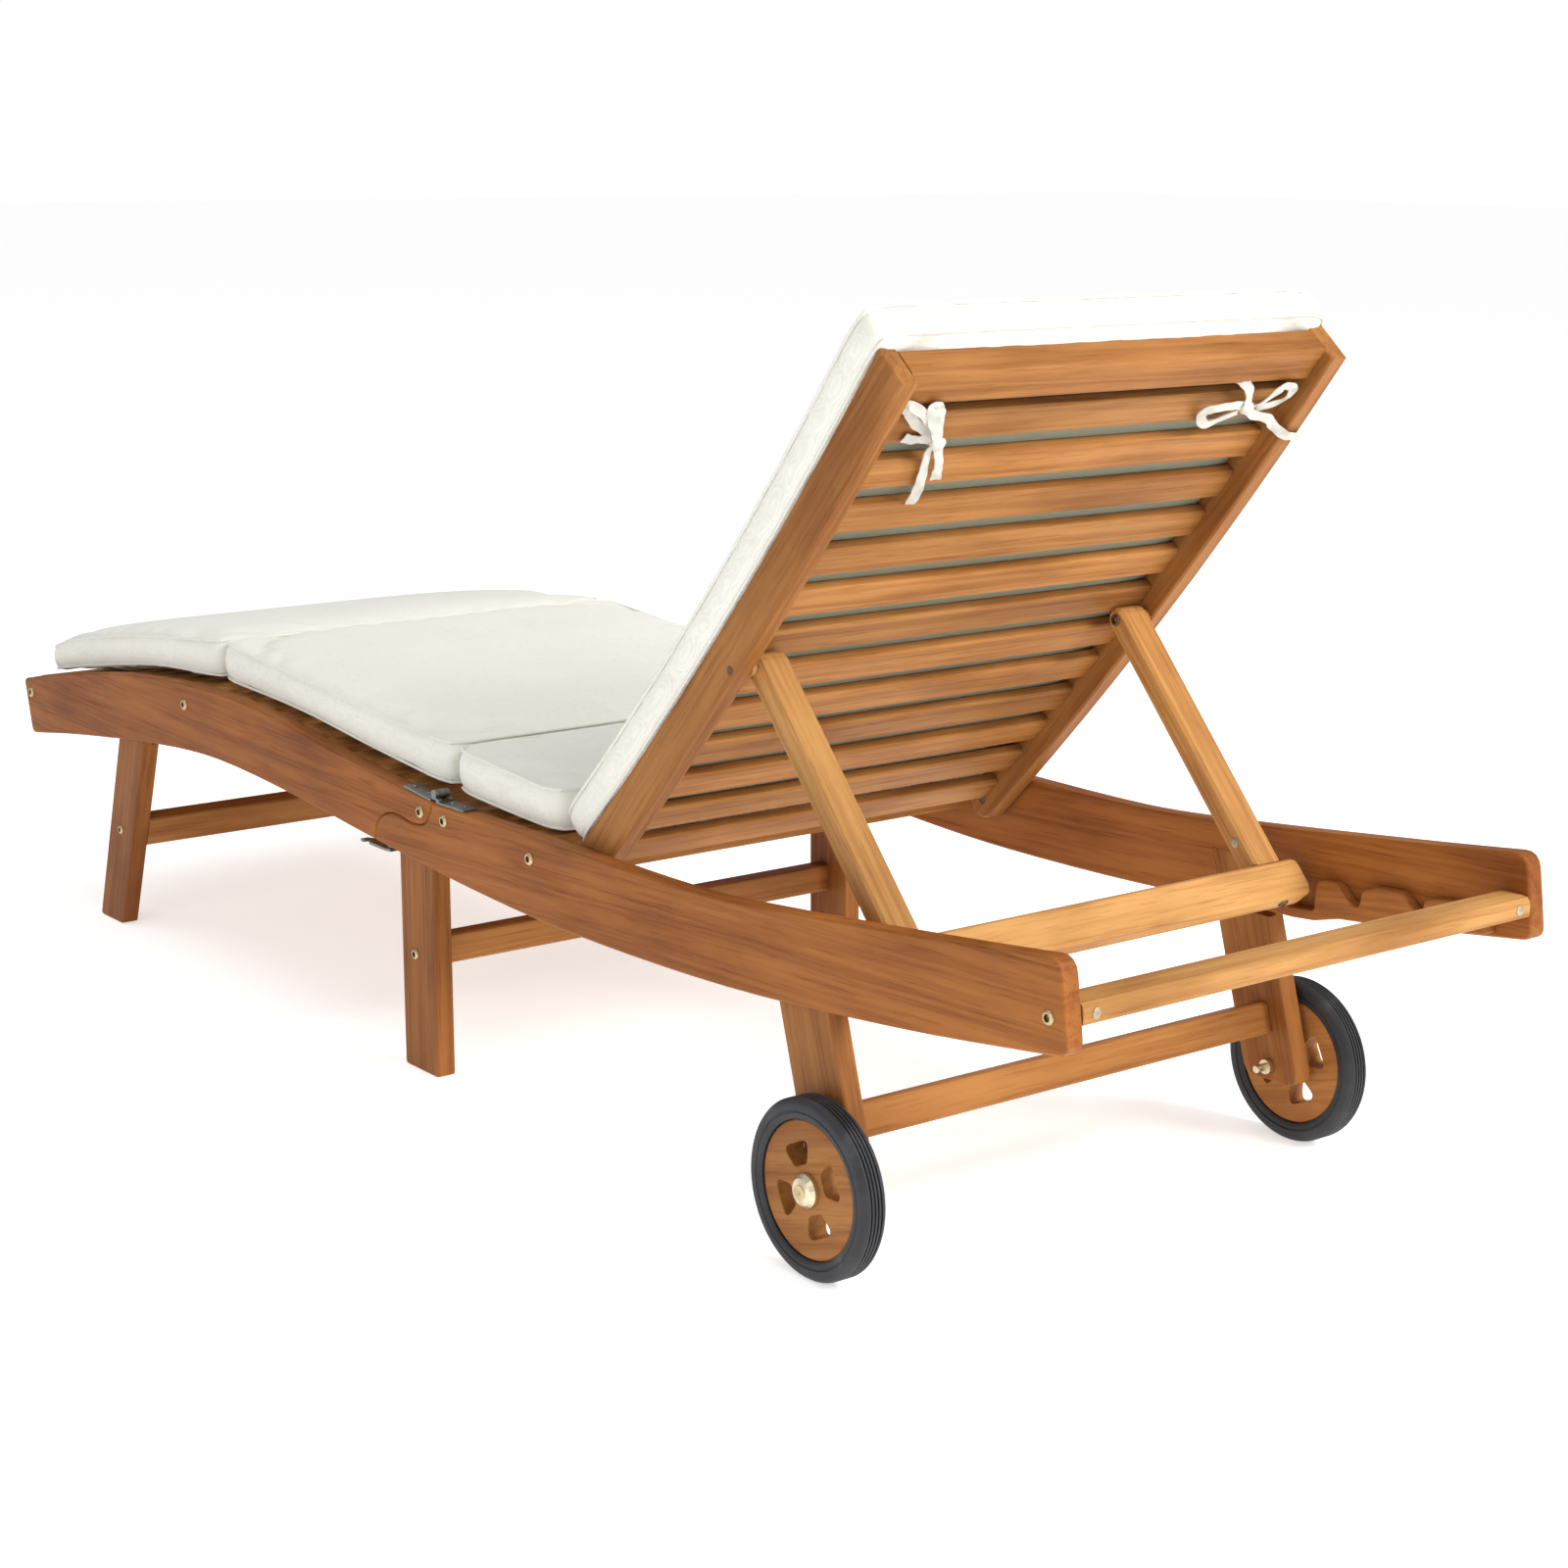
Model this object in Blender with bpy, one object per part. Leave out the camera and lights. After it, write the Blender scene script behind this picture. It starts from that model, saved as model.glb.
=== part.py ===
"""Reclining sun lounger: two-part slatted timber frame, propped backrest, two wheels, four-pad cushion."""

import math

import bmesh
import bpy
from mathutils import Vector

# Metres. Stations along the length are counted from the foot end; MID moves them to the part's middle.
LENGTH, MID = 1.985, 0.9925
GAP = 0.0004

# Side rails.
RAIL_OUT, RAIL_IN = 0.3000, 0.2799
FOOT_TOP = ((0.0, 0.2795), (0.109, 0.302), (0.338, 0.335), (0.592, 0.3458), (0.861, 0.321), (1.024, 0.306))
FOOT_BOTTOM = ((0.019, 0.210), (0.16, 0.231), (0.39, 0.258), (0.54, 0.2664), (0.726, 0.2575),
        (0.9055, 0.2424))
HEAD_TOP = ((1.024, 0.306), (1.25, 0.3075), (1.47, 0.3085), (1.592, 0.3174), (1.831, 0.343),
        (1.973, 0.3600))
HEAD_BOTTOM = ((0.9055, 0.2424), (1.097, 0.2285), (1.278, 0.2229), (1.534, 0.230), (1.783, 0.253),
        (1.985, 0.2800))
LAP = ((0.9055, 0.2424), (0.9105, 0.263), (0.9275, 0.276), (0.952, 0.2795), (0.983, 0.2757),
       (1.0076, 0.2806), (1.0195, 0.2945), (1.024, 0.306))

# Legs: (foot-side edge at the floor, its lean, head-side edge at the floor, its lean, lower end, tongue top).
LEG_OUT, LEG_IN = 0.2910, 0.2697
LEGS = {
    "foot": (0.1865, 0.304, 0.2480, 0.329, 0.0, 0.304),
    "middle": (0.9458, -0.020, 1.0132, -0.019, 0.0, 0.2715),
    "rear": (1.6724, -0.302, 1.7456, -0.302, 0.0687, 0.288),
}
# Stretchers: (station, height, depth, tilt from plumb).
STRETCHERS = {"foot": (0.2775, 0.127, 0.038, 0.306), "middle": (0.967, 0.129, 0.032, -0.02),
        "rear": (1.6715, 0.131, 0.032, -0.293)}
BOARD = 0.022

# Slats.
SLAT_W, SLAT_T, SLAT_LIFT = 0.0345, 0.0130, -0.002
BATTEN_W, BATTEN_H = 0.0120, 0.0090
FOOT_SLATS, SEAT_SLATS = 17, 3

# Folding hinge between the two halves of the frame.
FOLD = (1.025, 0.3145)
KNUCKLE_R, LEAF_T = 0.0052, 0.0020

# Backrest: pivot, rest angle, curved side members.
PIVOT = (1.2646, 0.2810)
BACK_ANGLE = math.radians(48.94)
STILE_OUT, STILE_IN = 0.2733, 0.2533
STILE_LEN, STILE_HALF, BOW = 0.694, 0.021, 0.012
BACK_SLATS, BACK_PITCH = 12, 0.0547

# Prop frame that holds the backrest up.
PROP_S, PROP_N, PROP_ANGLE = 0.334, -0.0255, math.radians(-48.4)
ARM_OUT, ARM_IN, ARM_HALF, ARM_TAIL = 0.2470, 0.2120, 0.0120, 0.0122
BAR_NEAR, BAR_FAR, BAR_HALF_Y = 0.2945, 0.3345, 0.2654

# Notched racks on the rails' inner faces.
RACK_IN = 0.2659

# Wheels.
WHEEL_X, WHEEL_R, DISC_R, AXLE_R = 1.6843, 0.0834, 0.0639, 0.0040
TYRE_IN, TYRE_OUT = 0.2970, 0.3237

# Cushion pads.
PAD_HALF = 0.275

COLOURS = {
    "teak_rail": ((0.33, 0.15, 0.06), 0.55, 0.0),
    "teak_light": ((0.50, 0.25, 0.11), 0.55, 0.0),
    "steel": ((0.60, 0.61, 0.62), 0.35, 1.0),
    "brass": ((0.72, 0.55, 0.28), 0.35, 1.0),
    "rubber": ((0.03, 0.03, 0.03), 0.85, 0.0),
    "cream_cloth": ((0.85, 0.82, 0.72), 0.95, 0.0),
}


def clear_scene():
    for obj in list(bpy.data.objects):
        bpy.data.objects.remove(obj, do_unlink=True)


def materials():
    made = {}
    for name, (rgb, rough, metal) in COLOURS.items():
        mat = bpy.data.materials.new(name)
        mat.use_nodes = True
        shader = mat.node_tree.nodes["Principled BSDF"]
        shader.inputs["Base Color"].default_value = (*rgb, 1.0)
        shader.inputs["Roughness"].default_value = rough
        shader.inputs["Metallic"].default_value = metal
        made[name] = mat
    return made


def spline(stations, parts):
    """Points of a smooth curve through the stations, `parts` steps between neighbours."""
    pts = [Vector(p) for p in stations]
    ends = [2 * pts[0] - pts[1]] + pts + [2 * pts[-1] - pts[-2]]
    out = []
    for a, b, c, d in zip(ends, ends[1:], ends[2:], ends[3:]):
        for k in range(parts):
            t = k / parts
            m0 = (c - a) * ((c - b).length / max((c - b).length + (b - a).length, 1e-9))
            m1 = (d - b) * ((c - b).length / max((d - c).length + (c - b).length, 1e-9))
            out.append((2 * t**3 - 3 * t**2 + 1) * b + (t**3 - 2 * t**2 + t) * m0
                       + (3 * t**2 - 2 * t**3) * c + (t**3 - t**2) * m1)
    return [tuple(p) for p in out] + [tuple(pts[-1])]


def height(stations, x):
    """Height of the curve through the stations at station x."""
    pts = spline(stations, 12)
    for (xa, za), (xb, zb) in zip(pts, pts[1:]):
        if x <= xb:
            return za + (zb - za) * (x - xa) / (xb - xa)
    return pts[-1][1]


def rounded(points, radius, steps=3):
    """The polygon with each corner turned into an arc of the given radius (one number or one per corner)."""
    radii = radius if isinstance(radius, (list, tuple)) else [radius] * len(points)
    out = []
    for i, r in enumerate(radii):
        a, p, b = Vector(points[i - 1]), Vector(points[i]), Vector(points[(i + 1) % len(points)])
        if r <= 0:
            out.append(tuple(p))
            continue
        u, v = (a - p).normalized(), (b - p).normalized()
        cut = min(r / math.tan(u.angle(v) / 2), 0.49 * (a - p).length, 0.49 * (b - p).length)
        start, end = p + u * cut, p + v * cut
        for k in range(steps + 1):
            t = k / steps
            out.append(tuple((1 - t) ** 2 * start + 2 * t * (1 - t) * p + t * t * end))
    return out


def inset(points, by):
    area = sum(a[0] * b[1] - b[0] * a[1] for a, b in zip(points, points[1:] + points[:1]))
    turn = 1 if area > 0 else -1
    out = []
    for i in range(len(points)):
        a, p, b = Vector(points[i - 1]), Vector(points[i]), Vector(points[(i + 1) % len(points)])
        e, f = (p - a).normalized(), (b - p).normalized()
        n, m = Vector((-e.y, e.x)) * turn, Vector((-f.y, f.x)) * turn
        mid = (n + m).normalized()
        out.append(tuple(p + mid * by / max(mid.dot(n), 0.5)))
    return out


def loft(rings, closed=False):
    """A mesh through rings of 3-D points; the ends are capped unless the rings close on themselves."""
    bm = bmesh.new()
    rows = [[bm.verts.new(p) for p in ring] for ring in rings]
    pairs = list(zip(rows, rows[1:])) + ([(rows[-1], rows[0])] if closed else [])
    for a, b in pairs:
        for i in range(len(a)):
            j = (i + 1) % len(a)
            bm.faces.new((a[i], a[j], b[j], b[i]))
    if not closed:
        bm.faces.new(rows[0])
        bm.faces.new(list(reversed(rows[-1])))
    bmesh.ops.recalc_face_normals(bm, faces=bm.faces)
    mesh = bpy.data.meshes.new("m")
    bm.to_mesh(mesh)
    bm.free()
    return mesh


def prism(outline, y0, y1, arris=0.0015):
    """The outline (station, height) carried across the width from y0 to y1, its arrises taken off."""
    lo, hi = min(y0, y1), max(y0, y1)
    small = inset(outline, arris) if arris else outline
    rows = [(small, lo), (outline, lo + arris), (outline, hi - arris),
            (small, hi)] if arris else [(outline, lo), (outline, hi)]
    return loft([[(x - MID, y, z) for x, z in pts] for pts, y in rows])


def turned(profile, x, z, side, steps=40):
    """A round piece about a cross axis at (x, z): profile of (radius, y), open at the axis or a closed ring."""
    solid = profile[0][0] == 0
    rings = []
    for k in range(steps):
        a = 2 * math.pi * k / steps
        rings.append([(x - MID + r * math.cos(a), side * y, z + r * math.sin(a)) for r, y in profile])
    if not solid:
        return loft(rings, closed=True)
    bm = bmesh.new()
    inner = profile[1:-1]
    rows = [[bm.verts.new(p) for p in ring[1:-1]] for ring in rings]
    tips = [bm.verts.new(rings[0][0]), bm.verts.new(rings[0][-1])]
    for k in range(steps):
        a, b = rows[k], rows[(k + 1) % steps]
        for i in range(len(inner) - 1):
            bm.faces.new((a[i], a[i + 1], b[i + 1], b[i]))
        bm.faces.new((tips[0], a[0], b[0]))
        bm.faces.new((tips[1], b[-1], a[-1]))
    bmesh.ops.recalc_face_normals(bm, faces=bm.faces)
    mesh = bpy.data.meshes.new("m")
    bm.to_mesh(mesh)
    bm.free()
    return mesh


def together(meshes):
    """Several separate bodies held in one mesh."""
    bm = bmesh.new()
    for mesh in meshes:
        bm.from_mesh(mesh)
    out = bpy.data.meshes.new("m")
    bm.to_mesh(out)
    bm.free()
    return out


def combine(base, other, operation):
    """One mesh joined to, or cut by, another."""
    a = bpy.data.objects.new("a", base)
    b = bpy.data.objects.new("b", other)
    for obj in (a, b):
        bpy.context.scene.collection.objects.link(obj)
    mod = a.modifiers.new("join", "BOOLEAN")
    mod.operation, mod.solver, mod.object = operation, "EXACT", b
    bpy.context.view_layer.update()
    out = bpy.data.meshes.new_from_object(a.evaluated_get(bpy.context.evaluated_depsgraph_get()))
    for obj in (a, b):
        bpy.data.objects.remove(obj, do_unlink=True)
    return out


def axis_empty(name, at, parent=None):
    empty = bpy.data.objects.new(name, None)
    bpy.context.scene.collection.objects.link(empty)
    empty.empty_display_size = 0.05
    where = Vector((at[0] - MID, at[1], at[2]))
    empty.parent = parent
    empty.location = where - (Vector(parent["at"]) if parent else Vector())
    empty["at"] = tuple(where)
    return empty


def place(name, mesh, material, body=None, smooth=False):
    """Names the piece and hangs it on its body's axis; a fixed piece gets its own middle as origin."""
    pts = [v.co for v in mesh.vertices]
    origin = Vector(body["at"]) if body else sum(pts, Vector()) / len(pts)
    for v in mesh.vertices:
        v.co -= origin
    mesh.name = name
    mesh.materials.clear()
    mesh.materials.append(MATS[material])
    if smooth:
        mesh.shade_smooth()
        mesh.set_sharp_from_angle(angle=math.radians(32))
    else:
        mesh.shade_flat()
    obj = bpy.data.objects.new(name, mesh)
    bpy.context.scene.collection.objects.link(obj)
    obj.parent = body
    obj.location = Vector() if body else origin
    return obj


def back_point(s, n):
    """Station and height of a point on the backrest: s up the back, n towards the sitter."""
    c, d = math.cos(BACK_ANGLE), math.sin(BACK_ANGLE)
    return (PIVOT[0] + s * c - n * d, PIVOT[1] + s * d + n * c)


def bow(s):
    """How far the side member's middle line stands in front of the straight one."""
    return -BOW * (1 - ((s - 0.34) / 0.34) ** 2)


def prop_point(t, e):
    """Station and height of a point on the prop frame: t from its pivot, e towards its rear face."""
    qx, qz = back_point(PROP_S, PROP_N)
    c, d = math.cos(PROP_ANGLE), math.sin(PROP_ANGLE)
    return (qx + t * c - e * d, qz + t * d + e * c)


def board(x, z, wide, deep, tilt, half_y, name, body=None, material="teak_light"):
    """A straight board across the frame: wide along the length, deep in height, leaning by tilt."""
    c, d = math.cos(tilt), math.sin(tilt)
    corners = ((-wide / 2, -deep / 2), (wide / 2, -deep / 2), (wide / 2, deep / 2), (-wide / 2, deep / 2))
    outline = [(x + a * c + b * d, z - a * d + b * c) for a, b in corners]
    return place(name, prism(rounded(outline, 0.002, 1), -half_y, half_y, 0), material, body)


def leg_outline(kind, grow=0.0, top=None):
    x0, k0, x1, k1, low, high = LEGS[kind]
    high = (high if top is None else top) + grow
    low -= 10 * grow
    return [(x0 + k0 * low - grow, low), (x1 + k1 * low + grow, low), (x1 + k1 * high + grow, high),
            (x0 + k0 * high - grow, high)]


def side_rails():
    shift = GAP
    foot_lap = [(x - shift, z + shift) for x, z in reversed(spline(LAP, 4))]
    foot_low = [(x, z) for x, z in reversed(spline(FOOT_BOTTOM, 4)[:-1])]
    foot = spline(FOOT_TOP, 5)[1:-1] + foot_lap[:-1] + [(0.9051, 0.2428)] + foot_low[:-1]
    foot += rounded([(0.05, 0.2151), (0.0193, 0.2100), (0.0002, 0.2790), (0.03, 0.2885)],
            [0, 0.008, 0.006, 0], 3)[1:-1]
    head_end = rounded([(1.90, 0.2689), (1.985, 0.2800), (1.9735, 0.3600), (1.90, 0.3519)],
            [0, 0.012, 0.017, 0], 4)[1:-1]
    head = spline(LAP, 4) + spline(HEAD_TOP,
            5)[1:-2] + list(reversed(head_end)) + list(reversed(spline(HEAD_BOTTOM, 5)[1:-2]))
    for side, hand in ((-1, "left"), (1, "right")):
        for part, outline, kinds, body in (("foot", foot, ("foot",), FOLD_AXIS),
                ("head", head, ("middle", "rear"), None)):
            mesh = prism(outline, side * RAIL_IN, side * RAIL_OUT, 0.0018)
            for kind in kinds:
                pocket = prism(leg_outline(kind, 0.0003), side * (RAIL_IN - 0.004),
                        side * (LEG_OUT + 0.0003), 0)
                mesh = combine(mesh, pocket, "DIFFERENCE")
            place(f"{part}_rail_{hand}", mesh, "teak_rail", body)


def legs():
    for kind, bottom, body in (("foot", FOOT_BOTTOM, FOLD_AXIS), ("middle", HEAD_BOTTOM, None),
            ("rear", HEAD_BOTTOM, None)):
        x0, k0, x1, k1, low, high = LEGS[kind]
        outline = rounded(leg_outline(kind), [0.004 if kind != "rear" else 0.012] * 2 + [0.002] * 2, 2)
        mid = (x0 + x1) / 2 + k0 * 0.24
        shoulder = height(bottom, mid) - 0.002
        for side, hand in ((-1, "left"), (1, "right")):
            leg = prism(outline, side * LEG_IN, side * LEG_OUT, 0.0012)
            box = [(mid - 0.15, shoulder), (mid + 0.15, shoulder), (mid + 0.15, shoulder + 0.2),
                    (mid - 0.15, shoulder + 0.2)]
            leg = combine(leg, prism(box, side * 0.25, side * (RAIL_IN + 0.0003), 0), "DIFFERENCE")
            if kind == "rear":
                bore = turned([(0, 0.26), (AXLE_R + 0.0003, 0.26), (AXLE_R + 0.0003, 0.30), (0, 0.30)],
                        WHEEL_X, WHEEL_R, side, 20)
                leg = combine(leg, bore, "DIFFERENCE")
            place(f"{kind}_leg_{hand}", leg, "teak_rail", body)
        x, z, deep, tilt = STRETCHERS[kind]
        board(x, z, BOARD, deep, tilt, LEG_IN - GAP, f"{kind}_stretcher", body)


def cross_rails():
    inner = RAIL_IN - GAP
    board(0.0215, 0.2635, BOARD, 0.040, 0.0, inner, "foot_end_rail", FOLD_AXIS)
    board(1.0000, 0.2905, BOARD, 0.029, 0.0, inner, "foot_rear_rail", FOLD_AXIS)
    board(1.0465, 0.2905, BOARD, 0.029, 0.0, inner, "seat_front_rail")
    # Rails that pass under the slats are cut down at their ends to clear the battens.
    for name, x, top, body in (("foot_mid_rail", 0.4617, height(FOOT_TOP, 0.4617), FOLD_AXIS),
            ("seat_rear_rail", 1.2086, height(HEAD_TOP, 1.2086), None)):
        high = top + SLAT_LIFT - SLAT_T - 0.0024
        low, step = high - 0.028, high - BATTEN_H - GAP
        tongue = inner - BATTEN_W - 0.001
        ring = [(-inner, low), (inner, low), (inner, step), (tongue, step), (tongue, high),
                (-tongue, high), (-tongue, step), (-inner, step)]
        rows = [[(x - MID + dx, y, z) for y, z in ring] for dx in (-BOARD / 2, BOARD / 2)]
        place(name, loft(rows), "teak_light", body)
    grip = rounded([(1.9458, 0.3015), (1.981, 0.3015), (1.981, 0.3213), (1.9458, 0.3213)],
            [0.003, 0.004, 0.009, 0.005], 3)
    place("handle_bar", prism(grip, -inner, inner, 0), "teak_light", smooth=True)


def slat_panel(name, start, stop, count, tops, body, battens):
    """Cross slats carried on two battens, following the line of the rails."""
    inner = RAIL_IN - GAP
    space = (stop - start - count * SLAT_W) / (count + 1)
    slats = []
    for k in range(count):
        a = start + space + k * (SLAT_W + space)
        b = a + SLAT_W
        za, zb = height(tops, a) + SLAT_LIFT, height(tops, b) + SLAT_LIFT
        slats.append(prism(rounded([(a, za - SLAT_T), (b, zb - SLAT_T), (b, zb), (a, za)],
                [0, 0, 0.002, 0.002], 1), -inner, inner, 0))
    strips = []
    steps = 14 if count > 5 else 3
    line = [battens[0] + (battens[1] - battens[0]) * k / steps for k in range(steps + 1)]
    drop = SLAT_LIFT - SLAT_T
    under = [(x, height(tops, x) + drop - BATTEN_H) for x in line]
    over = [(x, height(tops, x) + drop + 0.0015) for x in reversed(line)]
    for side in (-1, 1):
        strips.append(prism(under + over, side * (inner - BATTEN_W), side * (inner - 0.0005), 0))
    place(name, combine(together(slats), together(strips), "UNION"), "teak_light", body)


def hinge_leaves():
    """Two-leaf hinges on top of the rails; the foot leaf carries the middle knuckle."""
    fx, fz = FOLD
    for side, hand in ((-1, "left"), (1, "right")):
        for part, tops, a, b, knuckles, body in (
            ("foot", FOOT_TOP, 0.965, fx - 0.0055, ((0.2862, 0.2938),), FOLD_AXIS),
            ("head", HEAD_TOP, fx + 0.0055, 1.084, ((0.2812, 0.2857), (0.2943, 0.2988)), None),
        ):
            mids = [a + (b - a) * k / 3 for k in range(4)]
            low = [(x, height(tops, x) + 0.0004) for x in mids]
            plate = low + [(x, z + LEAF_T) for x, z in reversed(low)]
            mesh = prism(plate, side * 0.281, side * 0.299, 0)
            root = fx + math.copysign(0.012, a + b - 2 * fx)
            foot_z = height(tops, root) + 0.0010
            for lo, hi in knuckles:
                ring = [(fx + KNUCKLE_R * math.cos(2 * math.pi * k / 16),
                        fz + KNUCKLE_R * math.sin(2 * math.pi * k / 16)) for k in range(16)]
                web = [(root, foot_z), (fx, fz - 0.0042), (fx, fz - 0.0012), (root, foot_z + 0.0030)]
                mesh = combine(mesh, prism(web, side * lo, side * hi, 0), "UNION")
                mesh = combine(mesh, prism(ring, side * lo, side * hi, 0), "UNION")
            place(f"{part}_hinge_leaf_{hand}", mesh, "steel", body)


def latches():
    """Swinging hooks under the lap that keep the two halves shut."""
    for side, hand in ((-1, "left"), (1, "right")):
        axis = LATCH_AXES[hand]
        px, y = 0.921, side * 0.290
        shape = [(px + 0.007, y - 0.005), (px + 0.007, y + 0.005), (px, y + 0.007),
                (px - 0.046, y + 0.007), (px - 0.054, y + 0.003),
                 (px - 0.054, y - 0.006), (px - 0.047, y - 0.006), (px - 0.047, y - 0.001), (px - 0.040,
                         y - 0.001),
                 (px - 0.036, y - 0.006), (px, y - 0.007)]
        plate = loft([[(x - MID, yy, z) for x, yy in shape] for z in (0.2330, 0.2358)])
        post = loft([[(px - MID + 0.0035 * math.cos(a), y + 0.0035 * math.sin(a),
                z) for a in [2 * math.pi * k / 12 for k in range(12)]]
                     for z in (0.2318, height(HEAD_BOTTOM, px) - 0.0012)])
        place(f"latch_{hand}", combine(plate, post, "UNION"), "steel", axis)


def racks():
    """Three-notch racks: each notch has a steep rear wall that stops the prop frame's crossbar."""
    # (station, height, corner radius) along the notched top, then along the underside.
    top = [(1.664, 0.262, 0.004), (1.690, 0.2585, 0.010), (1.704, 0.2535, 0.008), (1.7350, 0.2560, 0.004),
           (1.7362, 0.2868, 0.008), (1.7610, 0.2895, 0.014), (1.7770, 0.2752, 0.014), (1.7855, 0.2712,
                   0.010),
           (1.7915, 0.2725, 0.004), (1.7945, 0.2895, 0.007), (1.8100, 0.2945, 0.020), (1.8420, 0.2972,
                   0.014),
           (1.8560, 0.2840, 0.014), (1.8635, 0.2812, 0.008), (1.8680, 0.2822, 0.004), (1.8700, 0.2962,
                   0.007),
           (1.8900, 0.3000, 0.020), (1.9300, 0.3030, 0.006), (1.9420, 0.2960, 0.006)]
    low = [(1.9440, 0.2790), (1.9250, 0.2755), (1.868, 0.2655), (1.811, 0.2590),
           (1.767, 0.2545), (1.735, 0.2460), (1.707, 0.2435), (1.664, 0.2430)]
    outline = rounded([(x, z) for x, z, _ in top] + low, [r for _, _, r in top] + [0.004] * 8, 3)
    for side, hand in ((-1, "left"), (1, "right")):
        place(f"rack_{hand}", prism(outline, side * RACK_IN, side * (RAIL_IN - GAP), 0.0012), "teak_light")


def backrest():
    spots = [STILE_LEN * k / 12 for k in range(13)]
    front = [back_point(s, bow(s) + STILE_HALF) for s in spots[1:]]
    rear = [back_point(s, bow(s) - STILE_HALF) for s in reversed(spots[1:])]
    end = []
    for k in range(9):
        a = BACK_ANGLE - math.atan(2 * BOW / 0.34) - math.pi / 2 - math.pi * k / 8
        end.append((PIVOT[0] + STILE_HALF * math.cos(a), PIVOT[1] + STILE_HALF * math.sin(a)))
    outline = front + rear + end
    for side, hand in ((-1, "left"), (1, "right")):
        mesh = prism(outline, side * STILE_IN, side * STILE_OUT, 0.0018)
        for x, z, r in ((*PIVOT, 0.005), (*back_point(PROP_S, PROP_N), 0.004)):
            bore = turned([(0, 0.24), (r + 0.0003, 0.24), (r + 0.0003, 0.29), (0, 0.29)], x, z, side, 20)
            mesh = combine(mesh, bore, "DIFFERENCE")
        place(f"back_stile_{hand}", mesh, "teak_rail", RECLINE_AXIS)
        pin = [(0, 0.2540), (0.005, 0.2540), (0.005, 0.2737), (0.010, 0.2737), (0.010, 0.2795), (0, 0.2795)]
        place(f"back_pivot_pin_{hand}", turned(pin, *PIVOT, side, 20), "steel", smooth=True)
    inner = STILE_IN - GAP
    for k in range(BACK_SLATS):
        s = 0.001 + BACK_PITCH * k
        n0, n1 = bow(s), bow(s + SLAT_W)
        ring = [back_point(s, n0), back_point(s + SLAT_W, n1), back_point(s + SLAT_W, n1 + 0.0125),
                back_point(s, n0 + 0.0125)]
        place(f"back_slat_{k + 1:02d}", prism(rounded(ring, 0.002, 1), -inner, inner, 0), "teak_light",
                RECLINE_AXIS)
    s0, s1 = 0.657, 0.6935
    ring = [back_point(s0, -0.011), back_point(s1, -0.009), back_point(s1, 0.020), back_point(s0, 0.018)]
    place("back_top_rail", prism(rounded(ring, 0.004, 2), -inner, inner, 0), "teak_light", RECLINE_AXIS)


def prop_frame():
    arm = [prop_point(BAR_NEAR - GAP, -ARM_HALF), prop_point(BAR_NEAR - GAP, ARM_HALF)]
    for k in range(7):
        a = math.pi / 2 + math.pi * k / 6
        arm.append(prop_point(ARM_TAIL * math.cos(a), ARM_HALF * math.sin(a)))
    qx, qz = back_point(PROP_S, PROP_N)
    for side, hand in ((-1, "left"), (1, "right")):
        mesh = prism(arm, side * ARM_IN, side * ARM_OUT, 0.003)
        pin = turned([(0, 0.230), (0.0040, 0.230), (0.0040, 0.2474), (0.0075, 0.2474), (0.0075, 0.2529),
                (0.0040, 0.2529), (0.0040, 0.2700), (0, 0.2700)], qx, qz, side, 20)
        place(f"prop_arm_{hand}", combine(mesh, pin, "UNION"), "teak_light", PROP_AXIS)
    # The crossbar: a board with rounded ends, so that it can ride over the racks.
    face = rounded([(BAR_NEAR, -BAR_HALF_Y), (BAR_FAR, -BAR_HALF_Y), (BAR_FAR, BAR_HALF_Y),
            (BAR_NEAR, BAR_HALF_Y)],
                   [0.009, 0.012, 0.012, 0.009], 4)
    small = inset(face, 0.003)
    rows = []
    for pts, e in ((small, -0.009), (face, -0.006), (face, 0.012), (small, 0.015)):
        rows.append([(prop_point(t, e)[0] - MID, y, prop_point(t, e)[1]) for t, y in pts])
    place("prop_crossbar", loft(rows), "teak_light", PROP_AXIS)


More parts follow.
